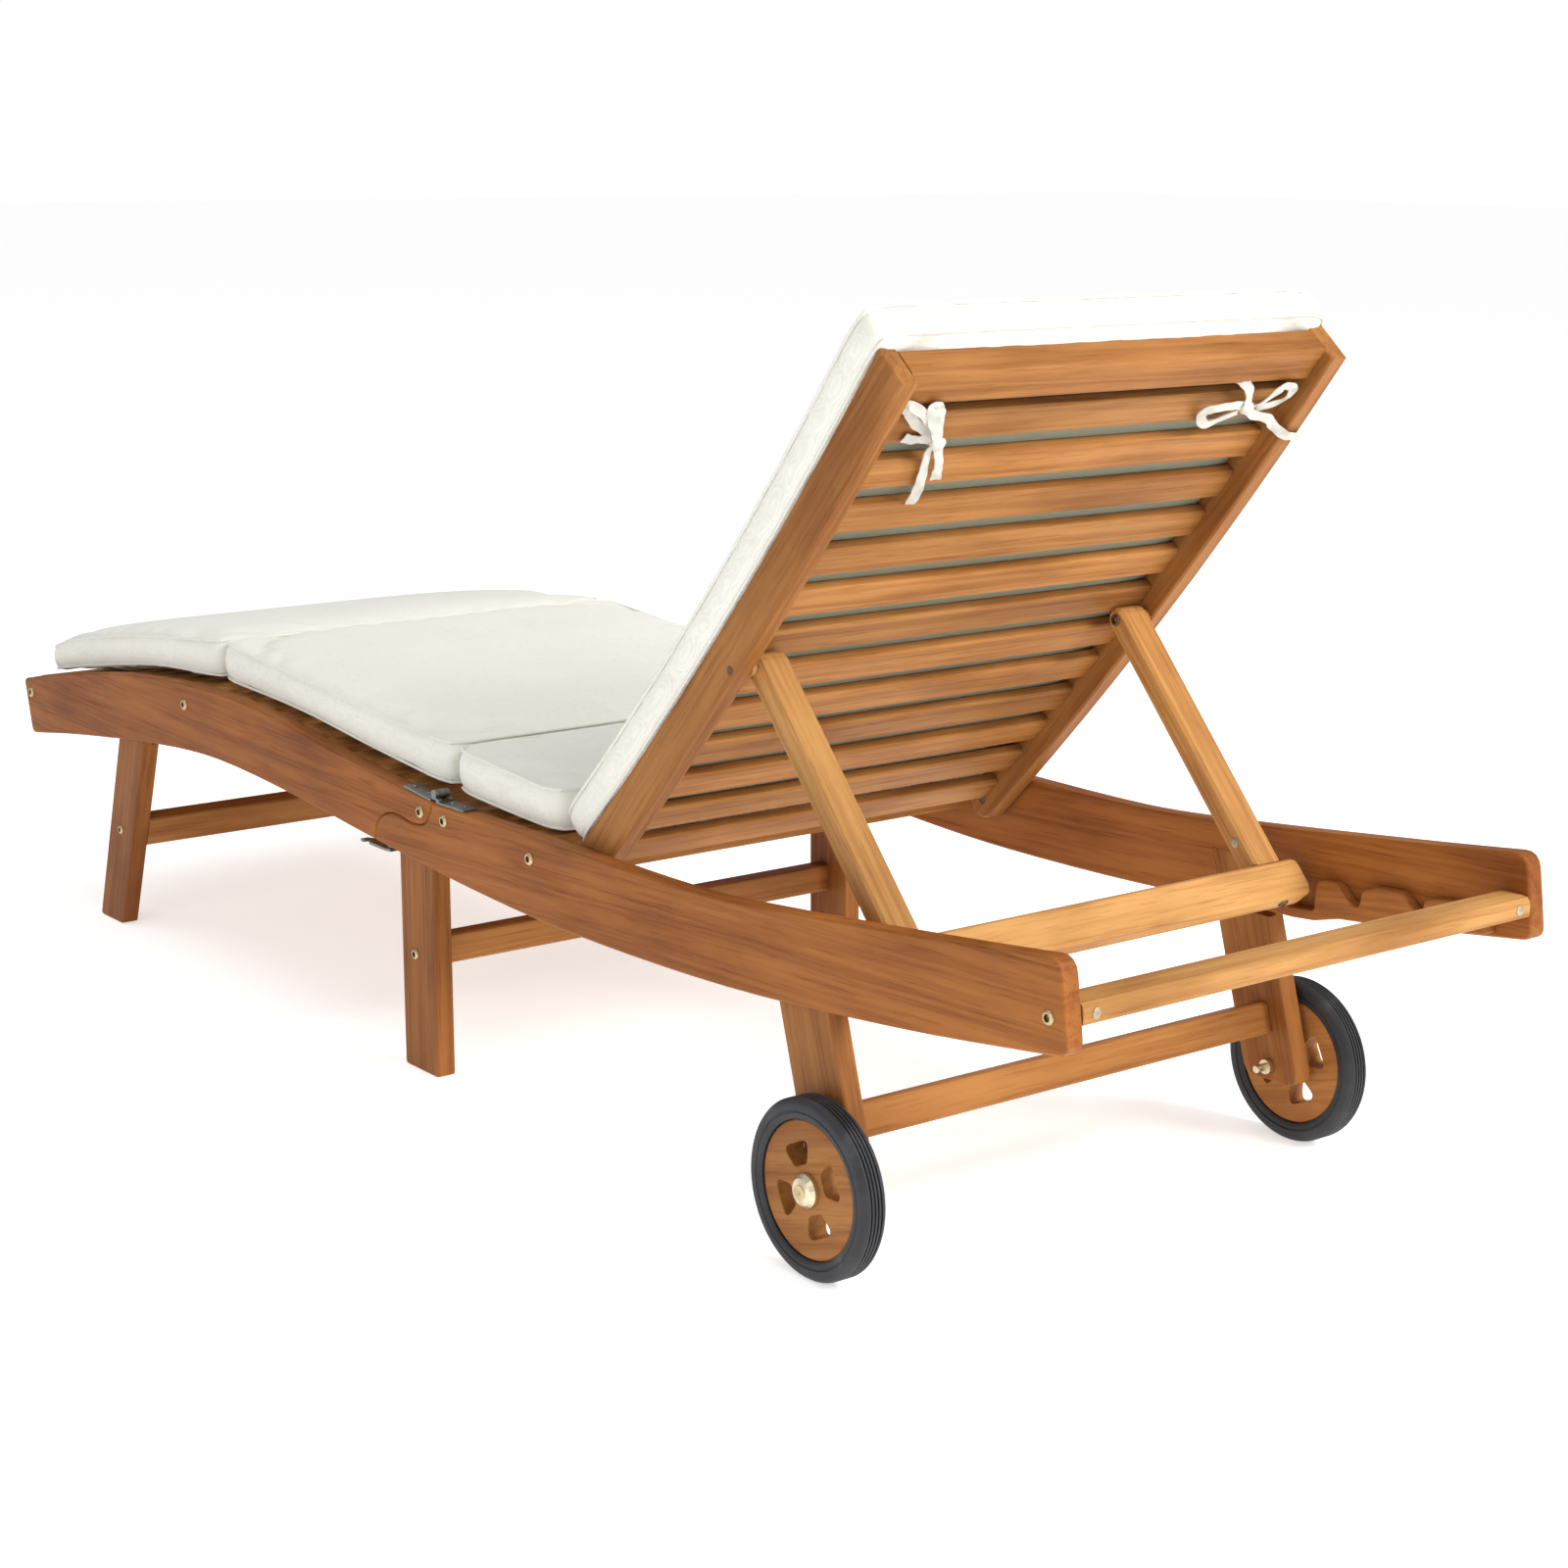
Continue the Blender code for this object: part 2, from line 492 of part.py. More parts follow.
def wheels():
    for side, hand in ((-1, "left"), (1, "right")):
        axis = WHEEL_AXES[hand]
        tyre = [(DISC_R + GAP, TYRE_IN + 0.002), (0.0760, TYRE_IN), (0.0815, TYRE_IN + 0.0025),
                (WHEEL_R, TYRE_IN + 0.0065),
                (WHEEL_R, TYRE_OUT - 0.0065), (0.0815, TYRE_OUT - 0.0025), (0.0760,
                        TYRE_OUT), (DISC_R + GAP, TYRE_OUT - 0.002)]
        place(f"tyre_{hand}", turned(tyre, WHEEL_X, WHEEL_R, side, 48), "rubber", axis, smooth=True)
        disc = [(AXLE_R + 0.0004, 0.3000), (DISC_R - 0.0015, 0.3000), (DISC_R, 0.3012), (DISC_R, 0.3193),
                (DISC_R - 0.0015, 0.3205), (AXLE_R + 0.0004, 0.3205)]
        mesh = turned(disc, WHEEL_X, WHEEL_R, side, 48)
        for k in range(4):
            middle = math.radians(26 + 90 * k)
            corners = ((-0.40, 0.0245), (0.40, 0.0245), (0.43, 0.0480), (-0.43, 0.0480))
            shape = [(r * math.cos(middle + a), r * math.sin(middle + a)) for a, r in corners]
            hole = [(WHEEL_X + x, WHEEL_R + z) for x, z in rounded(shape, [0.006, 0.006, 0.010, 0.010], 4)]
            mesh = combine(mesh, prism(hole, side * 0.29, side * 0.33, 0), "DIFFERENCE")
        place(f"wheel_disc_{hand}", mesh, "teak_light", axis)
        r = AXLE_R
        bolt = [(0, 0.2497), (r - 0.0006, 0.2497), (r, 0.2505), (r, 0.2630), (0.0075, 0.2630),
                (0.0075, 0.2692), (r, 0.2692), (r, 0.2914), (0.009, 0.2914),
                (0.009, 0.2993), (r, 0.2993), (r, 0.3209), (0.0160, 0.3209), (0.0158, 0.3245), (0.0125,
                        0.3283), (0.0065, 0.3300), (0, 0.3303)]
        place(f"axle_bolt_{hand}", turned(bolt, WHEEL_X, WHEEL_R, side, 20), "brass", smooth=True)


def pad(name, top, bottom, body):
    """A boxed cushion pad between its upper and lower lines."""
    outline = rounded(list(bottom) + list(reversed(top)), 0.010, 3)
    place(name, prism(outline, -PAD_HALF, PAD_HALF, 0.006), "cream_cloth", body, smooth=True)


def cushions():
    fx, fz = FOLD
    slack = 0.0008
    pad("cushion_foot", [(0.022, 0.326), (0.130, 0.352), (0.320, 0.382), (0.5095, 0.4025)],
        [(0.030, 0.2925), (0.155, 0.3165), (0.338, 0.3440), (0.5095, 0.3545)], FOLD_AXIS)
    pad("cushion_calf", [(0.5105, 0.4030), (0.700, 0.3875), (fx - slack - (0.3655 - fz), 0.3655)],
        [(0.5105, 0.3545), (0.700, 0.3480), (0.860, 0.3320),
                (fx - slack - (0.3195 - fz), 0.3195)], FOLD_AXIS)
    pad("cushion_seat", [(fx + slack + (0.3630 - fz), 0.3630), (1.190, 0.3535), (1.233, 0.3560)],
        [(fx + slack + (0.3185 - fz), 0.3185), (1.150, 0.3130), (1.238, 0.3120)], None)
    spots = [0.045, 0.20, 0.36, 0.52, 0.712]
    pad("cushion_back", [back_point(s, bow(s) + 0.058) for s in spots],
            [back_point(s, bow(s) + STILE_HALF + 0.0008) for s in spots], RECLINE_AXIS)


clear_scene()
MATS = materials()
FOLD_AXIS = axis_empty("fold_axis", (FOLD[0], 0, FOLD[1]))
RECLINE_AXIS = axis_empty("recline_axis", (PIVOT[0], 0, PIVOT[1]))
PROP_PIVOT = back_point(PROP_S, PROP_N)
PROP_AXIS = axis_empty("prop_axis", (PROP_PIVOT[0], 0, PROP_PIVOT[1]), RECLINE_AXIS)
WHEEL_AXES = {hand: axis_empty(f"wheel_axis_{hand}", (WHEEL_X, y, WHEEL_R)) for hand,
        y in (("left", -0.31), ("right", 0.31))}
LATCH_AXES = {hand: axis_empty(f"latch_axis_{hand}", (0.921, y, 0.2344)) for hand,
        y in (("left", -0.290), ("right", 0.290))}

side_rails()
legs()
cross_rails()
slat_panel("foot_slat_panel", 0.0335, 0.9885, FOOT_SLATS, FOOT_TOP, FOLD_AXIS, (0.0335, 0.9885))
slat_panel("seat_slat_panel", 1.0580, 1.2400, SEAT_SLATS, HEAD_TOP, None, (1.0580, 1.2400))
hinge_leaves()
latches()
racks()
backrest()
prop_frame()
wheels()
cushions()
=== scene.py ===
"""The reclining sun lounger, finished: grained teak, cream boxed cushions, brass bolts, ribbed tyres."""

import math

import bmesh
import bpy
import numpy as np
from mathutils import Matrix, Vector


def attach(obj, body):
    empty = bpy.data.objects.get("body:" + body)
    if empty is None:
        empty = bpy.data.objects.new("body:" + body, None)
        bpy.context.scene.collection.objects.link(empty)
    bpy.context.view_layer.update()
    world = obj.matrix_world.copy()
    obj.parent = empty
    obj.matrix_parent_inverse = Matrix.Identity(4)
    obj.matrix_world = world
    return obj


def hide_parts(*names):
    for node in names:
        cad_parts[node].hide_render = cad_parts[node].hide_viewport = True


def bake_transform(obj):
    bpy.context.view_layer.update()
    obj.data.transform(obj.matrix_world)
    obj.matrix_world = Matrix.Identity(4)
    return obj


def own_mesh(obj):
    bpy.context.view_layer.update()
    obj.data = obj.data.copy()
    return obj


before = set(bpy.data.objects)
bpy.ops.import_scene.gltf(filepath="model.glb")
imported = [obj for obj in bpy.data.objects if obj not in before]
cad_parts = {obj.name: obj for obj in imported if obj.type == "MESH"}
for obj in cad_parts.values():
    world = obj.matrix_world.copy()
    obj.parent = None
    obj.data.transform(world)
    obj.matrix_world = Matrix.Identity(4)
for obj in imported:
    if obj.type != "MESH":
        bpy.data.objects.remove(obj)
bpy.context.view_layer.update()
scene = bpy.context.scene

# Stations run from the foot end, in metres; MID is the station of the frame's origin.
MID = 0.9925
# Station and height of the backrest's pivot, and of the line that the foot half folds about.
PIVOT = (1.2646, 0.2810)
FOLD = (1.025, 0.3145)
BACK_ANGLE = math.radians(48.94)
PROP_ANGLE = math.radians(-48.4)
# The prop's own pivot: its distance up the back from PIVOT, and off the back's line.
PROP_S, PROP_N = 0.334, -0.0255
WHEEL_X, WHEEL_R = 1.6843, 0.0834
# Distances from the middle plane: rails, legs and stiles (outer), prop arms (inner), hinge screws.
RAIL_OUT, LEG_OUT, STILE_OUT, ARM_IN, SCREW_OUT = 0.3000, 0.2910, 0.2733, 0.2120, 0.2900
# The stiles bow by BOW, most at BOW_MID up the back.
BOW, BOW_MID = 0.012, 0.34
# Distances each side of the fold line, and up the back from the back's pivot.
FOLD_REACH, BACK_REACH = 0.075, 0.13
SIDES = ((-1, "left"), (1, "right"))


# ---------------------------------------------------------------- camera, light, floor
def set_camera():
    yaw, pitch, roll = 0.906, -0.2226, 0.0101
    fwd = Vector((-math.sin(yaw) * math.cos(pitch), math.cos(yaw) * math.cos(pitch), math.sin(pitch)))
    flat = Vector((math.cos(yaw), math.sin(yaw), 0.0))
    tall = flat.cross(fwd)
    right = flat * math.cos(roll) + tall * math.sin(roll)
    up = tall * math.cos(roll) - flat * math.sin(roll)
    data = bpy.data.cameras.new("camera")
    data.sensor_width, data.lens = 36.0, 67.24
    data.clip_end = 60.0
    cam = bpy.data.objects.new("camera", data)
    scene.collection.objects.link(cam)
    turn = Matrix((right, up, -fwd)).transposed().to_4x4()
    cam.matrix_world = Matrix.Translation((3.588 - MID, -1.8439, 1.0022)) @ turn
    scene.camera = cam


def area_light(name, at, look, size, power, tint=(1, 1, 1)):
    data = bpy.data.lights.new(name, "AREA")
    data.shape, data.size, data.energy, data.color = "DISK", size, power, tint
    lamp = bpy.data.objects.new(name, data)
    scene.collection.objects.link(lamp)
    lamp.location = at
    lamp.rotation_euler = (Vector(look) - Vector(at)).to_track_quat("-Z", "Y").to_euler()


def set_studio():
    world = bpy.data.worlds.new("studio")
    scene.world = world
    world.use_nodes = True
    world.node_tree.nodes["Background"].inputs["Color"].default_value = (1.0, 1.0, 1.0, 1.0)
    world.node_tree.nodes["Background"].inputs["Strength"].default_value = 0.46
    # Whatever looks past the floor sees plain white; the object itself is lit more softly than that.
    nt = world.node_tree
    paper = nt.nodes.new("ShaderNodeBackground")
    paper.inputs["Color"].default_value = (1.0, 1.0, 1.0, 1.0)
    seen = nt.nodes.new("ShaderNodeLightPath")
    both = nt.nodes.new("ShaderNodeMixShader")
    nt.links.new(seen.outputs["Is Camera Ray"], both.inputs[0])
    nt.links.new(nt.nodes["Background"].outputs[0], both.inputs[1])
    nt.links.new(paper.outputs[0], both.inputs[2])
    nt.links.new(both.outputs[0], nt.nodes["World Output"].inputs["Surface"])
    area_light("fill", (1.6, -3.6, 1.9), (0.0, 0.0, 0.3), 3.0, 30)
    area_light("key", (3.6, 1.2, 2.6), (0.3, 0.0, 0.3), 1.8, 150, (1.0, 0.98, 0.95))
    area_light("top", (-0.8, -0.4, 4.0), (-0.1, 0.0, 0.2), 3.0, 36)
    scene.view_settings.view_transform = "Standard"
    bm = bmesh.new()
    bmesh.ops.create_grid(bm, x_segments=2, y_segments=2, size=30)
    mesh = bpy.data.meshes.new("floor")
    bm.to_mesh(mesh)
    bm.free()
    floor = bpy.data.objects.new("floor", mesh)
    floor.location = (0, 0, -0.0006)
    scene.collection.objects.link(floor)
    mat, nt = blank("floor_paper")
    nt.nodes["shader"].inputs["Base Color"].default_value = (0.93, 0.93, 0.93, 1)
    nt.nodes["shader"].inputs["Roughness"].default_value = 0.9
    nt.nodes["shader"].inputs["Emission Color"].default_value = (1.0, 1.0, 1.0, 1)
    nt.nodes["shader"].inputs["Emission Strength"].default_value = 0.55
    mesh.materials.append(mat)


# ---------------------------------------------------------------- materials
def blank(name):
    mat = bpy.data.materials.new(name)
    mat.use_nodes = True
    nt = mat.node_tree
    nt.nodes.clear()
    out = nt.nodes.new("ShaderNodeOutputMaterial")
    shader = nt.nodes.new("ShaderNodeBsdfPrincipled")
    shader.name = "shader"
    nt.links.new(shader.outputs[0], out.inputs["Surface"])
    return mat, nt


def node(nt, kind, **settings):
    made = nt.nodes.new("ShaderNode" + kind)
    for key, value in settings.items():
        if key in made.inputs:
            made.inputs[key].default_value = value
        else:
            setattr(made, key, value)
    return made


def ramp(nt, stops, fac):
    made = nt.nodes.new("ShaderNodeValToRGB")
    made.color_ramp.elements.remove(made.color_ramp.elements[1])
    made.color_ramp.elements[0].position = stops[0][0]
    made.color_ramp.elements[0].color = (*stops[0][1], 1)
    for at, rgb in stops[1:]:
        made.color_ramp.elements.new(at).color = (*rgb, 1)
    nt.links.new(fac, made.inputs["Fac"])
    return made.outputs["Color"]


def math_node(nt, op, a, b=None, clamp=False):
    made = nt.nodes.new("ShaderNodeMath")
    made.operation, made.use_clamp = op, clamp
    for k, v in enumerate((a, b)):
        if v is None:
            continue
        if isinstance(v, (int, float)):
            made.inputs[k].default_value = v
        else:
            nt.links.new(v, made.inputs[k])
    return made.outputs[0]


def mix_rgb(nt, fac, a, b, mode="MIX"):
    made = nt.nodes.new("ShaderNodeMix")
    made.data_type, made.blend_type = "RGBA", mode
    for socket, v in ((made.inputs[0], fac), (made.inputs[6], a), (made.inputs[7], b)):
        if isinstance(v, tuple):
            socket.default_value = (*v, 1)
        elif isinstance(v, (int, float)):
            socket.default_value = v
        else:
            nt.links.new(v, socket)
    return made.outputs[2]


def rest_coords(nt, turn=(0, 0, 0), scale=(1, 1, 1), shift=(0, 0, 0)):
    tex = node(nt, "TexCoord")
    spin = node(nt, "Mapping", vector_type="POINT")
    spin.inputs["Rotation"].default_value = turn
    spin.inputs["Location"].default_value = shift
    nt.links.new(tex.outputs["Object"], spin.inputs["Vector"])
    size = node(nt, "Mapping")
    size.inputs["Scale"].default_value = scale
    nt.links.new(spin.outputs[0], size.inputs["Vector"])
    return spin.outputs[0], size.outputs[0]


def wood(name, along, tone=1.0, seed=0, redness_and_warm_shade=0.0):
    """Oiled teak with its grain along the given direction (row frame)."""
    mat, nt = blank(name)
    turn = Vector(along).normalized().rotation_difference(Vector((1, 0, 0))).to_euler()
    off = (seed * 0.731 % 1.9, seed * 0.137 % 0.31 + 0.05, seed * 0.211 % 0.23 + 0.04)
    _, grain = rest_coords(nt, turn, (0.10, 1.0, 1.0), off)
    _, fibre = rest_coords(nt, turn, (0.035, 1.0, 1.0), off)
    _, broad = rest_coords(nt, turn, (0.35, 1.0, 1.0), off)
    rings = node(nt, "TexWave", wave_type="RINGS", rings_direction="X", wave_profile="SIN")
    rings.inputs["Scale"].default_value = 11.0
    rings.inputs["Distortion"].default_value = 3.0
    rings.inputs["Detail"].default_value = 3.0
    rings.inputs["Detail Scale"].default_value = 1.6
    rings.inputs["Detail Roughness"].default_value = 0.55
    nt.links.new(grain, rings.inputs["Vector"])
    fine = node(nt, "TexNoise")
    fine.inputs["Scale"].default_value = 380.0
    fine.inputs["Detail"].default_value = 5.0
    fine.inputs["Roughness"].default_value = 0.65
    nt.links.new(fibre, fine.inputs["Vector"])
    cloud = node(nt, "TexNoise")
    cloud.inputs["Scale"].default_value = 13.0
    cloud.inputs["Detail"].default_value = 4.0
    nt.links.new(broad, cloud.inputs["Vector"])
    streak = node(nt, "TexNoise")
    streak.inputs["Scale"].default_value = 130.0
    streak.inputs["Detail"].default_value = 3.0
    nt.links.new(fibre, streak.inputs["Vector"])
    k = 1.0 + 0.13 * math.sin(seed * 2.39)
    # Painted shade and light: the tone scales the whole colour and the redness takes out green and blue, so
    # parts that stood in shade come out darker and redder and lit ones paler, over the teak's own colour.
    base = tuple(tone * k * c for c in (0.505, 0.246 * (1 - redness_and_warm_shade), 0.074 * (1 - 1.8 * redness_and_warm_shade)))
    brown = (base[0] * 0.80, base[1] * 0.72, base[2] * 0.64)
    dark = (base[0] * 0.60, base[1] * 0.50, base[2] * 0.42)
    light = (base[0] * 1.12, base[1] * 1.14, base[2] * 1.20)
    band = ramp(nt, ((0.0, light), (0.50, base), (0.86, brown), (0.93, dark), (1.0, base)),
                rings.outputs["Fac"])
    shade = ramp(nt, ((0.32, (0.72, 0.64, 0.56)), (0.52, (1.0, 1.0, 1.0)), (0.70, (1.14, 1.18, 1.24))),
            cloud.outputs["Fac"])
    col = mix_rgb(nt, 0.46, base, band)
    col = mix_rgb(nt, 1.0, col, shade, "MULTIPLY")
    lines = ramp(nt, ((0.38, (0.60, 0.48, 0.38)), (0.50, (1.0, 1.0, 1.0)), (0.62, (1.10, 1.12, 1.16))),
            streak.outputs["Fac"])
    col = mix_rgb(nt, 0.36, col, lines, "MULTIPLY")
    pores = ramp(nt, ((0.33, (0.60, 0.50, 0.42)), (0.47, (1.0, 1.0, 1.0))), fine.outputs["Fac"])
    col = mix_rgb(nt, 0.60, col, pores, "MULTIPLY")
    # Worn, lighter arrises: the softened normal differs from the face's own only near an edge.
    soft = node(nt, "Bevel", samples=4)
    soft.inputs["Radius"].default_value = 0.0016
    geo = node(nt, "NewGeometry")
    dot = nt.nodes.new("ShaderNodeVectorMath")
    dot.operation = "DOT_PRODUCT"
    nt.links.new(soft.outputs[0], dot.inputs[0])
    nt.links.new(geo.outputs["True Normal"], dot.inputs[1])
    edge = math_node(nt, "MULTIPLY", math_node(nt, "SUBTRACT", 1.0, dot.outputs["Value"], True), 3.0, True)
    edge = math_node(nt, "MULTIPLY", edge, cloud.outputs["Fac"], True)
    col = mix_rgb(nt, edge, col, (min(1, base[0] * 1.5), min(1, base[1] * 1.6), base[2] * 2.0))
    shader = nt.nodes["shader"]
    nt.links.new(col, shader.inputs["Base Color"])
    rough = ramp(nt, ((0.2, (0.60,) * 3), (0.8, (0.42,) * 3)), fine.outputs["Fac"])
    nt.links.new(rough, shader.inputs["Roughness"])
    shader.inputs["Specular IOR Level"].default_value = 0.16
    swell_of_rings = math_node(nt, "MULTIPLY", rings.outputs["Fac"], 0.25)
    height = math_node(nt, "ADD", fine.outputs["Fac"], swell_of_rings)
    bump = node(nt, "Bump")
    bump.inputs["Strength"].default_value = 0.35
    bump.inputs["Distance"].default_value = 0.0006
    nt.links.new(height, bump.inputs["Height"])
    nt.links.new(soft.outputs[0], bump.inputs["Normal"])
    nt.links.new(bump.outputs[0], shader.inputs["Normal"])
    return mat


def canvas(name, rgb, weave=0.0011, contrast=0.93):
    """Plain-weave cotton canvas with faint slubs and a soft sheen."""
    mat, nt = blank(name)
    plain, _ = rest_coords(nt)
    waves = []
    for axis in ("X", "Y"):
        w = node(nt, "TexWave", wave_type="BANDS", bands_direction=axis, wave_profile="SIN")
        w.inputs["Scale"].default_value = 2 * math.pi / (20 * weave)
        w.inputs["Distortion"].default_value = 0.6
        w.inputs["Detail"].default_value = 1.0
        w.inputs["Detail Scale"].default_value = 2.0
        nt.links.new(plain, w.inputs["Vector"])
        waves.append(w.outputs["Fac"])
    thread = math_node(nt, "MAXIMUM", *waves)
    slub = node(nt, "TexNoise")
    slub.inputs["Scale"].default_value = 150.0
    slub.inputs["Detail"].default_value = 4.0
    nt.links.new(plain, slub.inputs["Vector"])
    cloud = node(nt, "TexNoise")
    cloud.inputs["Scale"].default_value = 7.0
    cloud.inputs["Detail"].default_value = 3.0
    nt.links.new(plain, cloud.inputs["Vector"])
    low = tuple(c * contrast for c in rgb)
    col = mix_rgb(nt, thread, low, rgb)
    tone = ramp(nt, ((0.3, (0.955, 0.955, 0.945)), (0.7, (1.0, 1.0, 1.0))), cloud.outputs["Fac"])
    col = mix_rgb(nt, 1.0, col, tone, "MULTIPLY")
    specks = ramp(nt, ((0.30, (0.93, 0.92, 0.89)), (0.42, (1.0, 1.0, 1.0))), slub.outputs["Fac"])
    col = mix_rgb(nt, 0.8, col, specks, "MULTIPLY")
    shader = nt.nodes["shader"]
    nt.links.new(col, shader.inputs["Base Color"])
    nt.links.new(ramp(nt, ((0.0, (0.96,) * 3), (1.0, (0.84,) * 3)), thread), shader.inputs["Roughness"])
    shader.inputs["Sheen Weight"].default_value = 0.25
    shader.inputs["Sheen Roughness"].default_value = 0.5
    shader.inputs["Specular IOR Level"].default_value = 0.2
    wrinkle = node(nt, "TexNoise")
    wrinkle.inputs["Scale"].default_value = 26.0
    wrinkle.inputs["Detail"].default_value = 2.0
    nt.links.new(plain, wrinkle.inputs["Vector"])
    coarse = node(nt, "Bump")
    coarse.inputs["Strength"].default_value = 0.30
    coarse.inputs["Distance"].default_value = 0.004
    nt.links.new(wrinkle.outputs["Fac"], coarse.inputs["Height"])
    bump = node(nt, "Bump")
    bump.inputs["Strength"].default_value = 0.45
    bump.inputs["Distance"].default_value = 0.0004
    nt.links.new(math_node(nt, "ADD", thread, math_node(nt, "MULTIPLY", slub.outputs["Fac"], 0.7)),
            bump.inputs["Height"])
    nt.links.new(coarse.outputs[0], bump.inputs["Normal"])
    nt.links.new(bump.outputs[0], shader.inputs["Normal"])
    return mat


def metal(name, rgb, rough, scratch=900.0, stain=0.75):
    mat, nt = blank(name)
    plain, fine = rest_coords(nt, (0, 0, 0), (1, 1, 0.15))
    n = node(nt, "TexNoise")
    n.inputs["Scale"].default_value = scratch
    n.inputs["Detail"].default_value = 3.0
    nt.links.new(fine, n.inputs["Vector"])
    c = node(nt, "TexNoise")
    c.inputs["Scale"].default_value = 120.0
    c.inputs["Detail"].default_value = 3.0
    nt.links.new(plain, c.inputs["Vector"])
    col = ramp(nt, ((0.30, tuple(v * stain for v in rgb)), (0.60, rgb)), c.outputs["Fac"])
    shader = nt.nodes["shader"]
    nt.links.new(col, shader.inputs["Base Color"])
    shader.inputs["Metallic"].default_value = 1.0
    nt.links.new(ramp(nt, ((0.3, (rough * 1.35,) * 3), (0.7, (rough * 0.8,) * 3)), n.outputs["Fac"]),
            shader.inputs["Roughness"])
    bump = node(nt, "Bump")
    bump.inputs["Strength"].default_value = 0.12
    bump.inputs["Distance"].default_value = 0.0002
    nt.links.new(n.outputs["Fac"], bump.inputs["Height"])
    nt.links.new(bump.outputs[0], shader.inputs["Normal"])
    return mat


def rubber(name):
    mat, nt = blank(name)
    plain, _ = rest_coords(nt)
    n = node(nt, "TexNoise")
    n.inputs["Scale"].default_value = 500.0
    n.inputs["Detail"].default_value = 4.0
    nt.links.new(plain, n.inputs["Vector"])
    dust = node(nt, "TexNoise")
    dust.inputs["Scale"].default_value = 22.0
    dust.inputs["Detail"].default_value = 5.0
    nt.links.new(plain, dust.inputs["Vector"])
    col = ramp(nt, ((0.35, (0.012, 0.013, 0.016)), (0.60, (0.024, 0.026, 0.031)),
            (0.72, (0.055, 0.057, 0.062)), (0.85, (0.10, 0.10, 0.105))), dust.outputs["Fac"])
    shader = nt.nodes["shader"]
    nt.links.new(col, shader.inputs["Base Color"])
    nt.links.new(ramp(nt, ((0.3, (0.62,) * 3), (0.8, (0.48,) * 3)), n.outputs["Fac"]),
            shader.inputs["Roughness"])
    bump = node(nt, "Bump")
    bump.inputs["Strength"].default_value = 0.25
    bump.inputs["Distance"].default_value = 0.0003
    nt.links.new(n.outputs["Fac"], bump.inputs["Height"])
    nt.links.new(bump.outputs[0], shader.inputs["Normal"])
    return mat


# ---------------------------------------------------------------- mesh helpers
def add(name, verts, faces, mat, body=None, slot=None, angle=38):
    mesh = bpy.data.meshes.new(name)
    mesh.from_pydata([tuple(v) for v in verts], [], faces)
    bm = bmesh.new()
    bm.from_mesh(mesh)
    bmesh.ops.recalc_face_normals(bm, faces=bm.faces)
    bm.to_mesh(mesh)
    bm.free()
    for m in mat if isinstance(mat, list) else [mat]:
        mesh.materials.append(m)
    mesh.shade_smooth()
    mesh.set_sharp_from_angle(angle=math.radians(angle))
    obj = bpy.data.objects.new(name, mesh)
    scene.collection.objects.link(obj)
    if body:
        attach(obj, body)
    return obj


def part(x, y, z):
    return Vector((x - MID, y, z))


def back_point(s, n, y=0.0):
    c, d = math.cos(BACK_ANGLE), math.sin(BACK_ANGLE)
    return part(PIVOT[0] + s * c - n * d, y, PIVOT[1] + s * d + n * c)


def bow_of(s):
    return -BOW * (1 - ((s - BOW_MID) / BOW_MID) ** 2)


def prop_point(t, e, y=0.0):
    q = back_point(PROP_S, PROP_N)
    c, d = math.cos(PROP_ANGLE), math.sin(PROP_ANGLE)
    return Vector((q.x + t * c - e * d, y, q.z + t * d + e * c))


def basis(axis, spin=0.0):
    w = Vector(axis).normalized()
    u = w.orthogonal().normalized()
    v = w.cross(u)
    return u * math.cos(spin) + v * math.sin(spin), v * math.cos(spin) - u * math.sin(spin), w


def revolve(profile, at, axis, steps=24, hexes=(), spin=0.0):
    """Verts and faces of a closed round piece: profile of (radius, height).
    The rings whose numbers are in hexes are six-sided."""
    u, v, w = basis(axis, spin)
    verts, rings = [], []
    for i, (r, h) in enumerate(profile):
        if r == 0:
            rings.append([len(verts)])
            verts.append(Vector(at) + w * h)
            continue
        ring = []
        for k in range(steps):
            a = 2 * math.pi * k / steps
            rr = r / math.cos((a + math.pi / 6) % (math.pi / 3) - math.pi / 6) if i in hexes else r
            ring.append(len(verts))
            verts.append(Vector(at) + (u * math.cos(a) + v * math.sin(a)) * rr + w * h)
        rings.append(ring)
    faces = []
    for a, b in zip(rings, rings[1:]):
        for k in range(steps):
            j = (k + 1) % steps
            if len(a) == 1:
                faces.append((a[0], b[k], b[j]))
            elif len(b) == 1:
                faces.append((a[k], a[j], b[0]))
            else:
                faces.append((a[k], a[j], b[j], b[k]))
    return verts, faces


def socket_head(name, at, axis, body, r=0.0066, mat=None, spin=0.3):
    """Domed bolt head with a deep six-sided socket."""
    profile = [(0, -0.0008), (r, -0.0008), (r, 0.0004), (r * 0.94, 0.0013), (r * 0.80, 0.0021),
               (r * 0.62, 0.0024), (r * 0.50, 0.0023), (r * 0.46, 0.0002), (0, -0.0002)]
    verts, faces = revolve(profile, at, axis, 24, (6, 7), spin)
    obj = add(name, verts, faces, [mat or MAT["brass"], MAT["plug"]], body, slot="brass_bolt")
    # The dark socket begins after the six outer bands of faces.
    for f in obj.data.polygons:
        f.material_index = int(f.index >= 6 * 24)
    return obj


def flat_disc(name, at, axis, body, r=0.0055, mat=None, thick=0.0009):
    profile = [(0, -0.0008), (r, -0.0008), (r, thick * 0.5), (r * 0.86, thick), (r * 0.3, thick),
            (r * 0.22, thick * 0.4), (0, thick * 0.3)]
    verts, faces = revolve(profile, at, axis, 20)
    return add(name, verts, faces, mat or MAT["brass"], body, slot="brass_bolt")


